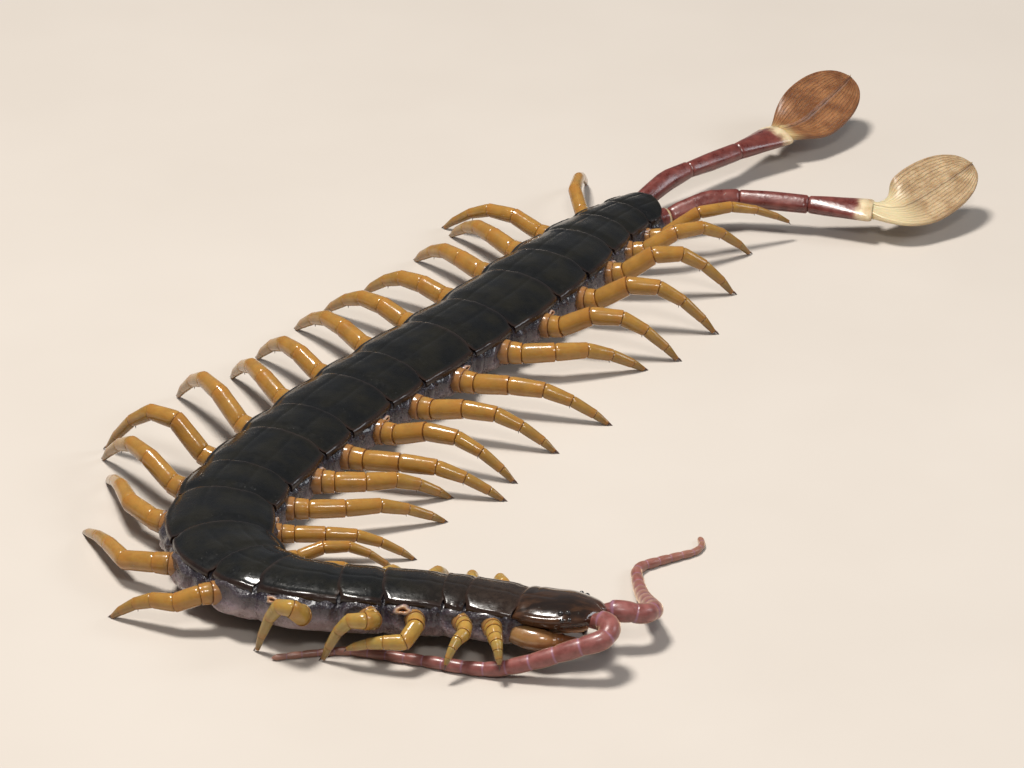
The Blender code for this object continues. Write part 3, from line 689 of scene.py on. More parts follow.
def plate_point(number, u, x):
    """Point of back plate number: u from its front to its rear edge, x from -1 to 1 across it."""
    start = segment_start(number)
    long = SEGMENT_LENGTHS[number - 1]
    reach = abs(x)
    corner = 0.34 * smooth(reach, 0.7, 1.0)
    front = start - 0.12 + corner * 0.9 + 0.18 * (1 - reach) ** 2
    rear = start + long + (PLATE_OVERLAP if number < SEGMENTS else 0.9) - corner * 1.3
    if number == SEGMENTS:
        rear -= 1.1 * reach ** 2.2
    s = front + (rear - front) * u
    spread = 0.955 + 0.065 * math.sin(math.pi * min(u * 1.1, 1.0)) - 0.03 * smooth(u, 0.9, 1.0)
    half = HALF_WIDTH * girth(s) * spread
    tall = height(s)
    margin = MARGIN_LEVEL * tall
    top = min(reach, 1.0)
    rise = PLATE_RAISE * (0.25 + 0.75 * smooth(u, 0.0, 0.3)) + 0.07 * bump(u, 0.93, 0.06)
    b = margin + (tall - margin) * (1 - top ** 2.6) + rise * (1 - 0.3 * top)
    strength = smooth(number, 2, 6)
    b += strength * (0.075 * bump(reach, 0.97, 0.03) - 0.05 * bump(reach, 0.9, 0.03))
    b -= 0.055 * bump(reach, 0.32, 0.018) * smooth(u, 0.02, 0.1)
    b += 0.05 * bump(x, 0.0, 0.06) * smooth(number, 3, 7) * smooth(u, 0.1, 0.4)
    b += 0.035 * bump(reach, 0.6, 0.05) * smooth(number, 4, 8) * smooth(u, 0.15, 0.5)
    b -= 0.06 * bump(u, 0.16, 0.03) * smooth(0.95 - reach, 0.0, 0.2)
    fall = max(reach - 1.0, 0.0) / 0.08
    a = half * min(reach, 1.03) - 0.34 * fall ** 2
    b -= 0.62 * math.sin(math.pi / 2 * fall)
    place = body_point(s, math.copysign(a, x), b)
    lumps = 0.05 * rough(place, 0.55, number) + 0.03 * rough(place, 1.5, number + 9)
    end = 0.2 * smooth(u, 0.965, 1.0)
    return place + body_direction(s, 0, 0, 1) * (lumps - end), s


def make_back_plates(finish):
    """The back plates, each a thin shell that laps over the next one."""
    columns = mirrored(HALF_PLATE)
    last = len(columns) - 1
    bm = new_bmesh("reach", "margin")
    for number in range(1, SEGMENTS + 1):
        def place(u, v):
            u = 0.5 - 0.5 * math.cos(math.pi * u)
            x = columns[round(v * last)]
            point, s = plate_point(number, u, x)
            margin = max(smooth(u, 0.9, 1.0), smooth(abs(x), 0.93, 1.0), smooth(0.06 - u, 0, 0.06))
            return point, s / BODY.length(), margin
        walled(bm, sheet(bm, place, PLATE_ROWS, last), 1)
    piece("back_plates", bm, finish, slot="trunk_shell")


def make_belly_plates(finish):
    """The plates under the body, flat and paired with the back plates."""
    bm = new_bmesh("margin")
    for number in range(1, SEGMENTS + 1):
        start = segment_start(number)
        long = SEGMENT_LENGTHS[number - 1]

        def place(u, v):
            x = v * 2 - 1
            reach = abs(x)
            s = start + 0.12 + (long - 0.18) * u * (1 - 0.06 * reach ** 4) + 0.03 * long * reach ** 4
            half = HALF_WIDTH * girth(s) * 0.56 * (0.94 + 0.06 * math.sin(math.pi * u))
            sunk = 0.3 * smooth(reach, 0.9, 1.0) + 0.2 * smooth(abs(u - 0.5), 0.42, 0.5)
            point = body_point(s, half * x, -0.1 + sunk + 0.05 * bump(reach, 0.38, 0.06))
            return point, max(smooth(reach, 0.85, 1.0), smooth(abs(u - 0.5), 0.4, 0.5))
        walled(bm, sheet(bm, place, 10, 18), -1)
    piece("belly_plates", bm, finish, slot="trunk_shell")


# Soft body

def leg_size(number, side):
    """Thickness of a leg, less where the bend of the body leaves its root less room."""
    long = SEGMENT_LENGTHS[number - 1]
    room = 1 + side * COXA_REACH * math.radians(SEGMENT_TURNS[number - 1]) / long
    return girth(segment_start(number)) * min(max(0.25 + 0.85 * room, 0.6), 1.0)


def coxa_face(number, side, sweep):
    """Root, face and outward direction of a leg's coxa."""
    s = coxa_place(number)
    turn = math.radians(sweep)
    outward = body_direction(s, math.sin(turn), side * math.cos(turn), 0)
    half = HALF_WIDTH * girth(s) * 0.55
    root = body_point(s, side * half, COXA_LEVEL * height(s))
    return root, root + outward * (COXA_REACH * girth(s) - half), outward


def segment_at(s):
    """Number of the segment that s falls in."""
    number = 1
    while number < SEGMENTS and s > segment_start(number + 1):
        number += 1
    return number


def soft_point(s, v):
    """Point of the soft skin at s, v once round from the left side over the top, and its markings."""
    angle = math.tau * v
    c = math.cos(angle)
    d = math.sin(angle)
    wide = HALF_WIDTH * girth(s)
    tall = height(s)
    a = wide * flatter(c, 0.62)
    b = 0.44 * tall + (0.46 if d > 0 else 0.44) * tall * flatter(d, 0.7)
    flank = smooth(abs(c), 0.35, 0.75)
    number = segment_at(s)
    start = segment_start(number)
    long = SEGMENT_LENGTHS[number - 1]
    share = (s - start) / long
    side = 1 if c > 0 else -1
    ends = min(s - start, start + long - s)
    out = -0.32 * bump(ends, 0, 0.32) * flank
    out += 0.12 * math.sin(math.pi * share) * flank
    away = math.hypot(s - coxa_place(number), (b - COXA_LEVEL * tall) * 1.05)
    collar = bump(away, 1.42 * leg_size(number, side), 0.36) if number <= LEG_PAIRS else 0.0
    out += 0.3 * collar * flank
    place = body_point(s, a, b)
    pleat = math.sin(b * 5.2 + 1.6 * rough(place, 0.5) + 0.5 * math.sin(s * 2.1))
    wrinkle = rough(place, 1.1, 3) * 0.6 + rough(place, 2.3, 5) * 0.4
    out += flank * (0.07 * pleat + 0.16 * wrinkle)
    out += flank * 0.16 * bump(share, 0.12, 0.07) * smooth(b, 0.3 * tall, 0.5 * tall)
    out -= flank * 0.12 * bump(share, 0.22, 0.04)
    stretched = min(max(SEGMENT_TURNS[number - 1] * -0.03, 0.0), 0.8) if side < 0 else 0.0
    out += 0.35 * stretched * flank * math.sin(math.pi * share)
    place = body_point(s, a + side * out, b + 0.2 * out * d)
    upright = math.sin(s * 4.6 + 1.2 * rough(place, 0.6, 7))
    out += flank * 0.07 * upright * (1 - smooth(b, 0.35 * tall, 0.65 * tall))
    fold = max(0.0, min(1.0, 0.35 + 0.8 * wrinkle + 0.25 * pleat + 0.35 * upright)) * flank
    pale = flank * min(1.0, 0.6 * collar + 1.1 * stretched * (1 - smooth(b, 0.3 * tall, 0.7 * tall)))
    return place, b / tall, fold, pale


def make_soft_body(finish):
    """One skin from the neck to the rear end, with pleats, creases and the collars round the leg roots."""
    length = BODY.length()

    def place(u, v):
        s = SKIN_FRONT + (length + SKIN_REAR - SKIN_FRONT) * u
        inner = min(s, length)
        point, *marks = soft_point(inner, v)
        if s > length:
            core = body_point(length, 0, 0.5 * height(length))
            shut = math.cos(math.pi / 2 * (s - length) / SKIN_REAR)
            point = core + (point - core) * max(shut, 0.02) + body_direction(length, 1, 0, 0) * (s - length)
        elif s < HEAD_LENGTH + 0.4:
            core = body_point(inner, 0, 0.55 * height(inner))
            point = core + (point - core) * (0.8 + 0.2 * smooth(s, SKIN_FRONT, HEAD_LENGTH + 0.4))
        return point, *marks

    bm = new_bmesh("level", "fold", "pale")
    tube(bm, place, SKIN_ROWS, SKIN_AROUND)
    trunks = [f"trunk_{first:02d}_to_{first + 2:02d}" for first in range(1, SEGMENTS + 1, 3)]
    piece("body_skin", bm, finish, nodes=trunks, slot="trunk_shell", sharp=80)


def make_spiracles(finish):
    """Breathing holes in the soft sides of every other segment."""
    bm = new_bmesh()
    for number in BREATHING_SEGMENTS:
        for side, _ in SIDES:
            size = {3: 1.3, 5: 1.05}.get(number, 0.8)
            s0 = segment_start(number) + (0.66 if number == 3 else 0.74) * SEGMENT_LENGTHS[number - 1]
            v0 = 0.042 if side > 0 else 0.458
            centre = soft_point(s0, v0)[0]
            ahead = body_direction(s0, 1, 0, 0)
            outward = body_direction(s0, 0, side * 0.94, 0.34)
            upward = outward.cross(ahead) * side

            def place(u, v):
                angle = math.tau * v
                lip = 0.13 * bump(u, 0.45, 0.2) - 0.16 * bump(u, 0.0, 0.2) - 0.42 * smooth(u, 0.6, 1.0)
                ragged = 1 + 0.14 * math.sin(3 * angle + number) + 0.08 * math.sin(5 * angle + side)
                squeeze = 0.12 + 0.88 * smooth(u, 0.0, 0.6)
                return (centre + ahead * (0.85 * size * u * ragged * math.cos(angle))
                        + upward * (0.48 * size * u * ragged * squeeze * math.sin(angle))
                        + outward * ((lip + 0.1) * size))
            tube(bm, place, 12, 24)
    piece("breathing_holes", bm, finish, slot="trunk_shell")


# Walking legs

def leg_route(number, side):
    """Stops of share and centre along the solid leg, from its coxa face down to the claw."""
    first_sweep, last_sweep, reach, knee, tip = LEG_POSE[side][number - 1]
    _, face, outward = coxa_face(number, side, first_sweep)
    h = BODY.at(coxa_place(number))[2]
    start = face + outward * GAP
    place = start + outward * (LEG_LENGTH_SHARES[0] * reach)
    stops = [(0.0, start), (LEG_LENGTH_SHARES[0], place)]
    for last, share in zip(LEG_LENGTH_SHARES, LEG_LENGTH_SHARES[1:]):
        turn = math.radians(first_sweep + (last_sweep - first_sweep) * smooth(share, 0.05, 0.5))
        back = math.sin(turn)
        out = side * math.cos(turn)
        way = Vector((back * math.cos(h) + out * math.sin(h), back * math.sin(h) - out * math.cos(h), 0))
        place = place + way * (reach * (share - last))
        if share < KNEE_SHARE:
            z = start.z + (knee - start.z) * math.sin(math.pi / 2 * share / KNEE_SHARE)
        else:
            fall = max(math.cos(math.pi / 2 * (share - KNEE_SHARE) / (1 - KNEE_SHARE)), 0.0)
            z = tip + (knee - tip) * fall ** 0.9
        stops.append((share, Vector((place.x, place.y, z))))
    return stops


def leg_articles(number, side):
    """Joints and radii from inside the body to the claw: coxa, trochanter, four long articles and the last."""
    root, face, _ = coxa_face(number, side, LEG_POSE[side][number - 1][0])
    route = leg_route(number, side)
    thickness = list(zip((0.0,) + LEG_LENGTH_SHARES, (COXA_RADIUS * 0.86,) + LEG_RADII))
    joints = [root, face] + [blend(share, route) for share in LEG_JOINT_SHARES]
    radii = [COXA_RADIUS * 1.3, COXA_RADIUS * 0.92] + [blend(share, thickness) for share in LEG_JOINT_SHARES]
    return joints, [radius * leg_size(number, side) for radius in radii]


def article_swell(f, last):
    """Thickness along one article: a neck where it leaves the last one, and a rim over the next."""
    neck = 0.13 * bump(f, 0.0, 0.03) + (0 if last else 0.06) * bump(f, 1.0, 0.012)
    return 0.98 + 0.05 * math.sin(math.pi * f) + 0.05 * smooth(f, 0.7, 0.95) - neck


def make_leg(number, side, word, finish):
    """A walking leg in one piece, marked with the article's number and the share along it."""
    joints, radii = leg_articles(number, side)
    ways = [(b - a).normalized() for a, b in zip(joints, joints[1:])]
    last = len(ways) - 1
    lowest = 0.02 if LEG_POSE[side][number - 1][4] == 0 else 0.0
    spots = []
    for i, f in [(i, f) for i in range(last + 1) for f in LEG_ROWS] + [(last, 1.0)]:
        way = ways[i]
        if f < 0.16:
            way = ways[max(i - 1, 0)].lerp(way, 0.5 + 0.5 * smooth(f, 0, 0.16)).normalized()
        if f > 0.84:
            way = ways[min(i + 1, last)].lerp(way, 0.5 + 0.5 * smooth(1 - f, 0, 0.16)).normalized()
        radius = (radii[i] * (1 - f) + radii[i + 1] * f) * article_swell(f, i == last)
        spots.append((joints[i].lerp(joints[i + 1], f), way, radius, i + f))

    def place(u, v):
        centre, way, radius, part = spots[round(u * (len(spots) - 1))]
        deep = 1.0 + 0.07 * math.sin(math.tau * v) ** 2
        point = ring_point(centre, way, v, radius * 0.97, radius * deep)
        point.z = max(point.z, lowest)
        return point, part

    bm = new_bmesh("part")
    tube(bm, place, len(spots) - 1, LEG_AROUND)
    name = f"{word}_{number:02d}"
    piece(f"walking_leg_{name}", bm, finish, nodes=(f"leg_{name}",), slot="leg_amber")


def horn(bm, start, way, down, length, radius, curl):
    """A short curved thorn that starts inside its article."""
    def place(u, v):
        bend = u * curl
        centre = start + way * (length * math.sin(bend) / curl) + down * (length * (1 - math.cos(bend)) / curl)
        heading = way * math.cos(bend) + down * math.sin(bend)
        here = radius * (1 - u) ** 0.7
        return ring_point(centre, heading, v, here, here, Vector((0.1, 0.2, 1)))
    tube(bm, place, 7, 8)


def make_claws(side, word, finish):
    """The claw of each walking leg with its two side thorns, and the thorn where the last foot joint is."""
    bm = new_bmesh()
    for number in range(1, LEG_PAIRS + 1):
        joints, radii = leg_articles(number, side)
        size = leg_size(number, side)
        way = (joints[-1] - joints[-2]).normalized()
        across, top = ring_frame(way)
        tip = joints[-1]
        lifted = LEG_POSE[side][number - 1][4] > 0
        flat = Vector((way.x, way.y, way.z * (1 if lifted else 0.2))).normalized()
        horn(bm, tip - way * 0.25, flat, -UP, 0.85 * size, 0.17 * size, 0.9)
        for hand in (1, -1):
            spread = (flat + across * (0.4 * hand)).normalized()
            horn(bm, tip - way * 0.12 + across * (0.1 * hand), spread, -UP, 0.34 * size, 0.06 * size, 0.5)
        spur = joints[5] - (joints[5] - joints[4]).normalized() * 0.15 - top * (radii[5] * 0.55)
        horn(bm, spur, (way * 0.7 - top * 0.7).normalized(), -UP, 0.55 * size, 0.1 * size, 0.4)
    # Faced before the claws are flattened on the floor, because flat ones turn inside out
    bmesh.ops.recalc_face_normals(bm, faces=bm.faces)
    for vert in bm.verts:
        vert.co.z = max(vert.co.z, 0.0)
    piece(f"foot_claws_{word}", bm, finish, slot="leg_amber", faced=True)


# Head

def head_section(s):
    """Half width, top and underside of the head at s, on a smooth curve through the solids' stops."""
    s = min(max(s, SHIELD_FRONT), SHIELD_REAR)
    i = run_at(s, HEAD_STOPS)
    start, end = HEAD_STOPS[i][0], HEAD_STOPS[i + 1][0]
    return curve([stop[1:] for stop in HEAD_STOPS], i, (s - start) / (end - start))


def eye_place(side):
    """Middle of a group of ocelli, and the direction it faces."""
    outward = body_direction(EYE_PLACE, -0.42, side * 0.86, 0.34)
    return body_point(EYE_PLACE, side * 3.05, 3.55), outward


def make_head_shield(finish):
    """The domed shield of the head, with its rim, its grooves and the face below it."""
    under = [(1.015, 0.86), (1.01, 0.7), (0.975, 0.6), (0.93, 0.45), (0.9, 0.25), (0.82, 0.08), (0.6, 0.0),
             (0.3, 0.0)]
    section = [("top", x, 0) for x in mirrored(HALF_SHIELD)] + [("low", x, level) for x, level in under]
    section += [("low", 0.0, 0.0)] + [("low", -x, level) for x, level in reversed(under)]
    section.append(section[0])
    eyes = [eye_place(side)[0] for side, _ in SIDES]

    def place(u, v):
        s = SHIELD_FRONT + (SHIELD_REAR - SHIELD_FRONT) * u ** 1.35
        kind, x, level = section[round(v * (len(section) - 1))]
        half, high, low = head_section(s)
        nose = math.sqrt(max(1 - (1 - min((s - SHIELD_FRONT) / 0.75, 1.0)) ** 2, 0.0))
        rim = low + (high - low) * 0.42
        half *= 0.8 + 0.2 * nose
        reach = abs(x)
        if kind == "top":
            b = rim + (high - rim) * (1 - reach ** 2.4)
            b -= 0.05 * bump(reach, 0.33, 0.02) * smooth(s, 3.4, 4.6)
            b += 0.06 * bump(reach, 0.985, 0.03) - 0.04 * bump(reach, 0.91, 0.035)
        else:
            b = low + (rim - low) * level
        centre = (high + low) / 2
        b = centre + (b - centre) * (0.3 + 0.7 * nose)
        tuck = 0.3 * smooth(s, 6.8, SHIELD_REAR) * (1.0 if kind == "top" else 0.3)
        back = min(s, 0.0) + (0.55 * reach ** 2 + 0.3 * bump(x, 0.0, 0.12)) * (1 - smooth(s, -0.3, 1.2))
        point = body_point(max(s, 0.0), half * x, b - tuck) + body_direction(0, 1, 0, 0) * back
        normal = body_direction(max(s, 0.0), -0.2 * (1 - nose), x, 1 - reach * 0.6)
        near_eye = min((point - eye).length for eye in eyes)
        point += normal * (0.2 * bump(near_eye, 0, 0.75) + 0.035 * rough(point, 0.8, 2))
        if kind == "top":
            ridge = 0.05 * bump(s, 6.6, 0.3) - 0.05 * bump(s, 6.0, 0.2)
            point += normal * ridge * smooth(0.98 - reach, 0, 0.3)
        return point, max(smooth(reach, 0.82, 1.0) if kind == "top" else 0.7, smooth(s, 6.6, 7.1))

    bm = new_bmesh("margin")
    tube(bm, place, SHIELD_ROWS, len(section) - 1)
    piece("head_shield", bm, finish, nodes=("head",), slot="head_shell", sharp=70)


def make_ocelli(side, word, lens):
    """Four polished ocelli in a lozenge on the side of the head."""
    middle, outward = eye_place(side)
    back, up = ring_frame(outward)
    bm = new_bmesh()
    for i, share in enumerate((1.06, 0.94, 1.0, 0.92)):
        angle = math.tau * (i + 0.5) / 4
        spot = middle + outward * (0.15 * (1 - math.sin(angle)) - 0.01)
        spot += (back * math.cos(angle) + up * math.sin(angle)) * OCELLUS_SPREAD
        bmesh.ops.create_uvsphere(bm, u_segments=24, v_segments=14, radius=OCELLUS_RADIUS * share,
                                  matrix=Matrix.Translation(spot))
    piece(f"ocelli_{word}", bm, lens, nodes=(f"eye_{word}",), slot="ocelli")


def rounded(value, stops):
    """Numbers read from (place, number, number) stops on one smooth curve."""
    i = run_at(value, stops)
    (x0, *first), (x1, *second) = stops[i], stops[i + 1]
    (before, *earlier), (after, *later) = stops[max(i - 1, 0)], stops[min(i + 2, len(stops) - 1)]
    long = x1 - x0
    t = (value - x0) / long
    out = []
    for y0, y1, y_before, y_after in zip(first, second, earlier, later):
        leave = (y1 - y_before) / (x1 - before) * long
        arrive = (y_after - y0) / (after - x0) * long
        out.append(y0 * (2 * t ** 3 - 3 * t ** 2 + 1) + leave * (t ** 3 - 2 * t ** 2 + t)
                   + y1 * (3 * t ** 2 - 2 * t ** 3) + arrive * (t ** 3 - t ** 2))
    return out


def make_jaw(side, word, finish):
    """A poison jaw: stout first article, two short rings and the curved fang."""
    route = ((8.2, 1.9, 1.45, 0.7), (7.2, 2.45, 1.32, 0.98), (6.4, 2.8, 1.24, 1.04), (5.5, 2.98, 1.2, 1.1),
             (4.5, 3.05, 1.15, 1.04), (3.4, 2.8, 1.1, 0.82), (2.6, 2.3, 1.1, 0.62), (2.05, 1.7, 1.05, 0.42),
             (1.75, 1.1, 1.0, 0.24), (1.7, 0.5, 1.0, 0.06))
    spots = []
    for k, (s, a, b, radius) in enumerate(smooth_route(route, 64)):
        u = k / 64
        pinch = 0.12 * bump(u, 0.54, 0.011) + 0.13 * bump(u, 0.6, 0.011) + 0.12 * bump(u, 0.66, 0.011)
        spots.append((body_point(s, side * a, b), radius * JAW_RADIUS * (1 - pinch)))
    bm = new_bmesh()
    swept(bm, spots, 28)
    piece(f"poison_jaw_{word}", bm, finish, nodes=(f"forcipule_{word}",), slot="jaw_amber")


def make_jaw_plate(finish, horn_finish):
    """The plate that carries the jaws, with the teeth of its two lobes in front."""
    stops = ((3.35, 0.9, 1.6, 1.1), (3.6, 1.25, 1.75, 0.8), (4.3, 1.65, 1.85, 0.45),
             (5.4, JAW_PLATE_HALF_WIDTH + 0.1, 1.9, 0.3), (6.3, 2.6, 2.0, 0.28), (7.0, 3.15, 2.2, 0.3),
             (7.7, 3.1, 2.2, 0.4), (8.3, 2.7, 2.0, 0.7))
    rows = smooth_route(stops, 28)

    def place(u, v):
        s, half, top, bottom = rows[round(u * 28)]
        d = math.sin(math.tau * v)
        a = half * flatter(math.cos(math.tau * v), 0.6)
        b = (top + bottom) / 2 + (top - bottom) / 2 * flatter(d, 0.7)
        return body_point(s, a, b + (0.1 * bump(a, 0, 0.12) if d < 0 else 0.0))

    bm = new_bmesh()
    tube(bm, place, 28, 36)
    plain = len(bm.faces)
    for hand in (1, -1):
        for k in range(4):
            start = body_point(3.62, hand * (0.28 + 0.24 * k), 1.05)
            horn(bm, start, body_direction(3.5, -1, 0.1 * hand, 0), -UP, 0.62, 0.14, 0.2)
    bm.faces.ensure_lookup_table()
    for face in bm.faces[plain:]:
        face.material_index = 1
    piece("jaw_plate", bm, finish, horn_finish, nodes=("forcipule_plate",), slot="jaw_amber")


def make_mouth(finish):
    """Upper lip, the lobes of the first maxillae and the curled palps of the second."""
    lobe = ((2.7, 0.5, 2.1, 0.5), (1.9, 0.5, 2.05, 0.55), (1.3, 0.42, 2.15, 0.42), (0.95, 0.32, 2.3, 0.15))
    palp = ((4.0, 1.5, 1.95, 0.42), (3.0, 1.75, 2.05, 0.46), (2.1, 1.62, 2.1, 0.42), (1.45, 1.2, 2.1, 0.34),
            (1.15, 0.75, 2.1, 0.25), (1.1, 0.5, 2.05, 0.06))

    def lip(u, v):
        angle = math.tau * v
        a = (u - 0.5) * 2.6
        s = 0.95 + 0.35 * (a / 1.3) ** 2
        return body_point(s + 0.3 * math.cos(angle), a, 2.55 + 0.22 * math.sin(angle) - 0.1 * bump(a, 0, 0.2))

    bm = new_bmesh()
    tube(bm, lip, 24, 14)
    for hand in (1, -1):
        for route, squeeze in ((lobe, 0.0), (palp, 0.15)):
            spots = []
            for k, (s, a, b, radius) in enumerate(smooth_route(route, 26)):
                pinch = squeeze * (bump(k, 10, 0.8) + bump(k, 18, 0.8))
                spots.append((body_point(s, hand * a, b), radius * (1 - pinch)))
            swept(bm, spots, 16, 0.8)
    piece("mouth_parts", bm, finish, slot="jaw_amber")


# Feelers

def feeler_spots(side):
    """Centre, radius and article of each ring along a feeler, nine rings to a barrel-shaped article."""
    turn = math.radians(ANTENNA_SPLAY)
    outward = body_direction(0, -math.cos(turn), side * math.sin(turn), -0.06)
    start = body_point(1.6, side * 1.15, 3.35) + outward * (1.9 + GAP)
    trail = Trail((start.x, start.y), math.degrees(math.atan2(outward.y, outward.x)), ANTENNA_BENDS[side])
    total = trail.length()
    unit = total * (1 - ANTENNA_SHRINK) / (1 - ANTENNA_SHRINK ** ANTENNA_ARTICLES)
    down = -0.28 * UP
    spots = [(start - outward * back + down * back, radius, part)
             for back, radius, part in ((1.8, 0.4, 0.4), (1.2, 0.6, 0.2), (0.6, 0.74, 0.1), (0.2, 0.8, 0.05))]
    shares = (0.0, 0.05, 0.13, 0.28, 0.45, 0.62, 0.78, 0.88, 0.95)
    s = 0.0
    for i in range(ANTENNA_ARTICLES):
        long = unit * ANTENNA_SHRINK ** i
        last = i == ANTENNA_ARTICLES - 1
        bulge = 0.11 + 0.07 * smooth(i, 4, 10)
        for k, share in enumerate(shares + ((1.0,) if last else ())):
            here = s + long * share
            taper = (here / total) ** 0.8
            radius = ANTENNA_ROOT_RADIUS * (1 - taper) + ANTENNA_TIP_RADIUS * taper
            x, y, _ = trail.at(here)
            z = radius * 0.97 + (start.z - ANTENNA_ROOT_RADIUS) * (1 - smooth(here, 0, ANTENNA_DESCENT))
            if i == 0:
                z += (start.z - z) * (1 - k / 9)
            swell = 1.03 - bulge + bulge * math.sin(math.pi * min(share + 0.05, 1.0)) ** 0.55
            if last:
                swell *= math.sqrt(max(1 - smooth(share, 0.5, 1.04) ** 2, 0.0))
            spots.append((Vector((x, y, z)), radius * swell, i + share))
        s += long
    return spots


def make_feeler(side, word, finish):
    bm = new_bmesh("part")
    swept(bm, feeler_spots(side), 22)
    piece(f"feeler_{word}", bm, finish, nodes=(f"antenna_{word}",), slot="feeler")


# Last legs

def last_coxa(side):
    """Root, face and outward direction of a last leg's coxa."""
    end = segment_start(22)
    turn = math.radians(12)
    outward = body_direction(end, math.cos(turn), side * math.sin(turn), 0.05)
    root = body_point(end - 1.8, side * 1.5, 0.5 * height(end))
    return root, root + outward * 2.6, outward


def shank_route(side):
    """Stops of share and centre along a last leg from its coxa face, and its final heading."""
    _, face, outward = last_coxa(side)
    start = face + outward * GAP
    trail = Trail((start.x, start.y), math.degrees(math.atan2(outward.y, outward.x)), SHANK_BENDS[side])
    levels = ((0, start.z), (0.25, SHANK_LEVEL[side][0]), (1, SHANK_LEVEL[side][1]))
    stops = []
    for share in SHANK_SHARES:
        x, y, heading = trail.at(share * trail.length())
        stops.append((share, Vector((x, y, blend(share, levels)))))
    return stops, heading


def make_last_leg(side, word, finish):
    """Coxa, prefemur, femur and spreading tibia of a last leg, with four thorns on the prefemur."""
    route, _ = shank_route(side)
    root, face, outward = last_coxa(side)
    thickness = list(zip(SHANK_SHARES, SHANK_RADII))
    flatness = list(zip(SHANK_SHARES, SHANK_FLATS))
    rows = [(start + (end - start) * f, f) for start, end in zip(LAST_LEG_JOINTS, LAST_LEG_JOINTS[1:])
            for f in (0.0, 0.012, 0.03, 0.07, 0.15, 0.26, 0.38, 0.5, 0.62, 0.74, 0.85, 0.93, 0.97, 0.988)]
    spots = []
    for share, f in rows + [(1.0, 1.0)]:
        pinch = 0.18 * (bump(f, 0.0, 0.014) + bump(f, 1.0, 0.014)) * (0.4 if share > 0.97 else 1.0)
        radius = blend(share, thickness) * (1 + 0.03 * math.sin(math.pi * f) - pinch)
        spots.append((blend(share, route), radius, blend(share, flatness)))
    last = len(spots) - 1

    def shank(u, v):
        index = round(u * last)
        centre, radius, flat = spots[index]
        way = spots[min(index + 1, last)][0] - spots[max(index - 1, 0)][0]
        ridged = radius + 0.05 * math.cos(4 * math.tau * v) * radius
        return ring_point(centre, way.normalized(), v, ridged, ridged * flat)

    def coxa(u, v):
        radius = 1.22 - 0.2 * u - 0.16 * smooth(u, 0.9, 1.0)
        return ring_point(root.lerp(face + outward * 0.2, u), outward, v, radius, radius)

    bm = new_bmesh()
    tube(bm, shank, last, 28)
    tube(bm, coxa, 16, 24)
    across, top = ring_frame(outward)
    for k in range(4):
        out = (-0.6 + 0.4 * k) * side
        base = route[0][1].lerp(route[3][1], 0.75) + top * 0.72 + across * (out * 0.6)
        horn(bm, base, (outward + top * 0.6).normalized(), UP, 0.6, 0.14, 0.3)
    piece(f"last_leg_{word}", bm, finish, nodes=(f"ultimate_leg_{word}",), slot="shank_maroon")


def make_leaf(side, word, finish):
    """The flattened end of a last leg: a thin leaf with a midrib and veins."""
    route, heading = shank_route(side)
    end = route[-1][1]
    direction = (end - route[-2][1]).normalized()
    final = heading + math.radians(LEAF_TURN[side])
    rise = math.radians(LEAF_RISE[side])
    way = Vector((math.cos(final) * math.cos(rise), math.sin(final) * math.cos(rise), math.sin(rise)))
    stops = ((0.0, 0.36, 1.1), (0.1, 0.6, 0.8), (0.25, 0.86, 0.55), (0.45, 1.0, 0.5), (0.65, 0.97, 0.5),
             (0.8, 0.83, 0.45), (0.9, 0.63, 0.42), (0.96, 0.42, 0.4), (0.99, 0.22, 0.36), (1.0, 0.06, 0.36))
    spots = []
    middle = end + direction * (GAP - LEAF_SINK)
    reached = 0.0
    for k in range(LEAF_ROWS + 1):
        share = 0.5 - 0.5 * math.cos(math.pi * k / LEAF_ROWS)
        ahead = direction.lerp(way, smooth(share, 0, 0.4)).normalized()
        middle = middle + ahead * ((LEAF_LENGTH + LEAF_SINK) * (share - reached))
        reached = share
        tilt = math.radians(LEAF_TILT[side]) * smooth(share, 0, 0.4)
        level = ahead.cross(UP).normalized()
        across = level * math.cos(tilt) - level.cross(ahead) * math.sin(tilt)
        wide, thick = rounded(share, stops)
        spots.append((middle, across, across.cross(ahead), LEAF_HALF_WIDTH * wide, thick))

    def place(u, v):
        centre, across, up, half, thick = spots[round(u * LEAF_ROWS)]
        c = math.cos(math.tau * v)
        vein = 0.05 * math.cos(c * math.tau * 3.5) * smooth(1 - abs(c), 0.05, 0.3)
        rib = LEAF_THICKNESS * ((0.28 + 0.6 * (thick - 0.3)) + (0.28 + thick * 0.3) * bump(c, 0, 0.1) + vein)
        dish = 0.1 * half * c * c * smooth(u, 0.1, 0.5)
        return centre + across * (half * c) + up * (flatter(math.sin(math.tau * v), 0.5) * rib + dish), c

    bm = new_bmesh("across")
    tube(bm, place, LEAF_ROWS, LEAF_AROUND)
    piece(f"leaf_{word}", bm, finish, nodes=(f"tail_leaf_{word}",), slot="leaf_brown")


# Floor, light and camera

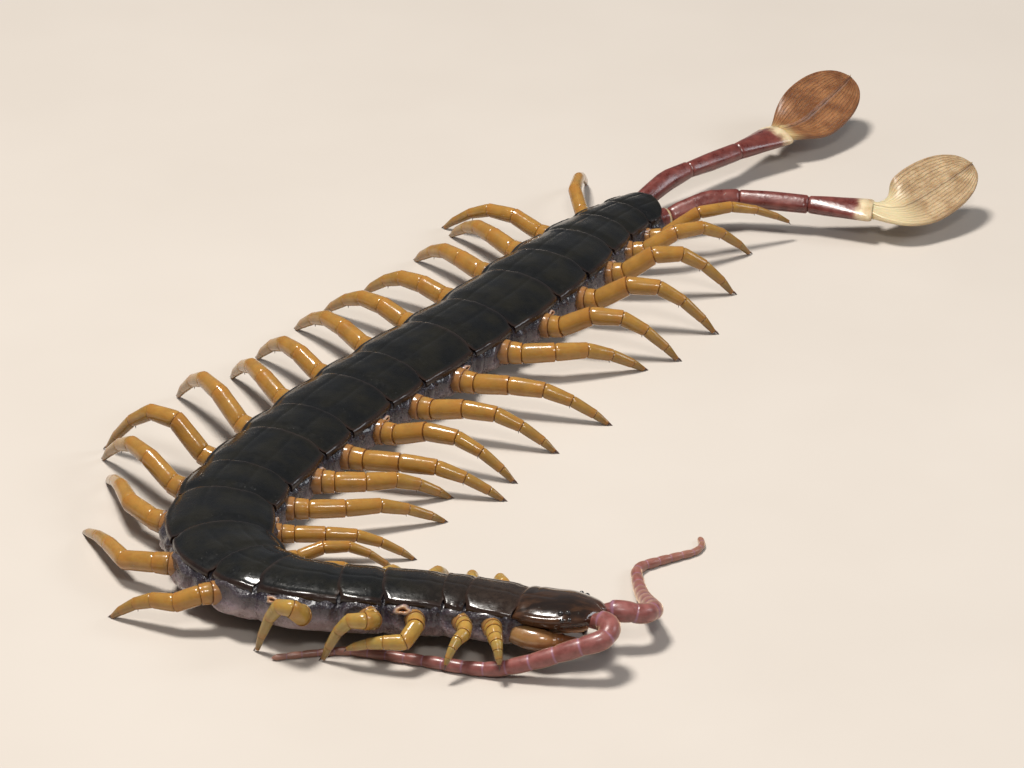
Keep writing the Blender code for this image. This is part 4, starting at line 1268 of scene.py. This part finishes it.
def make_stage():
    """Pale floor, dim even room light and three soft lamps."""
    scene = bpy.context.scene
    bm = bmesh.new()
    bmesh.ops.create_grid(bm, x_segments=1, y_segments=1, size=1.6)
    mesh = bpy.data.meshes.new("floor")
    bm.to_mesh(mesh)
    bm.free()
    recipe = Recipe("pale_floor", roughness=0.6)
    tone = recipe.mix(recipe.noise(30.0, 3), (0.52, 0.47, 0.42), (0.58, 0.53, 0.48))
    mesh.materials.append(recipe.finish(tone))
    floor = bpy.data.objects.new("floor", mesh)
    scene.collection.objects.link(floor)
    scene.world = bpy.data.worlds.new("soft_room")
    scene.world.use_nodes = True
    room = scene.world.node_tree.nodes["Background"].inputs
    room["Color"].default_value = (0.94, 0.96, 1.0, 1)
    room["Strength"].default_value = 0.16
    scene.view_settings.view_transform = "Standard"
    softbox("key_light", (-0.12, -0.02, 0.5), 0.11, 3.3, (1.0, 0.96, 0.9))
    softbox("front_light", (0.06, -0.42, 0.46), 0.1, 0.9, (1.0, 0.97, 0.93))
    softbox("side_light", (0.45, 0.0, 0.3), 0.16, 0.6, (0.88, 0.94, 1.0))


def softbox(name, where, size, power, colour):
    """A square lamp that faces the animal."""
    light = bpy.data.lights.new(name, "AREA")
    light.size = size
    light.energy = power
    light.color = colour
    lamp = bpy.data.objects.new(name, light)
    lamp.location = where
    lamp.rotation_euler = (-Vector(where)).to_track_quat("-Z", "Y").to_euler()
    bpy.context.scene.collection.objects.link(lamp)


def make_camera():
    """The camera, at the photograph's viewing angle."""
    view = bpy.data.cameras.new("camera")
    view.sensor_width = 36
    view.lens = 36 * PIXELS_PER_MM * VIEW_DISTANCE / PHOTO_WIDTH
    view.clip_start = 0.01
    camera = bpy.data.objects.new("camera", view)
    back = Vector((0, -math.cos(VIEW_ELEVATION), math.sin(VIEW_ELEVATION)))
    camera.location = (VIEW_POINT + back * VIEW_DISTANCE) * MM
    camera.rotation_euler = (math.pi / 2 - VIEW_ELEVATION, 0, 0)
    bpy.context.scene.collection.objects.link(camera)
    bpy.context.scene.camera = camera


def make_centipede():
    """Every piece of the animal with its finish."""
    make_soft_body(soft_side_finish())
    make_back_plates(shell_finish())
    make_belly_plates(belly_finish())
    make_spiracles(spiracle_finish())
    make_head_shield(head_finish())
    mouth = mouth_finish()
    make_mouth(mouth)
    claw = claw_finish()
    jaw = jaw_finish()
    make_jaw_plate(mouth, claw)
    amber = leg_finish("leg_cuticle", (0.38, 0.195, 0.042), (0.36, 0.2, 0.045), (0.27, 0.16, 0.045))
    olive = leg_finish("front_leg_cuticle", (0.42, 0.25, 0.055), (0.36, 0.25, 0.07), (0.3, 0.2, 0.07))
    feeler = feeler_finish()
    maroon = shank_finish()
    leaves = {
        1: leaf_finish("left_leaf_horn", (0.32, 0.2, 0.1), (0.52, 0.38, 0.22), (0.66, 0.56, 0.34), 0.3),
        -1: leaf_finish("right_leaf_horn", (0.16, 0.06, 0.02), (0.3, 0.13, 0.045), (0.62, 0.46, 0.22), 0.12),
    }
    lens = lens_finish()
    for side, word in SIDES:
        make_ocelli(side, word, lens)
        make_jaw(side, word, jaw)
        make_feeler(side, word, feeler)
        make_last_leg(side, word, maroon)
        make_leaf(side, word, leaves[side])
        make_claws(side, word, claw)
        for number in range(1, LEG_PAIRS + 1):
            make_leg(number, side, word, olive if number <= FRONT_LEGS else amber)


make_stage()
make_camera()
make_centipede()
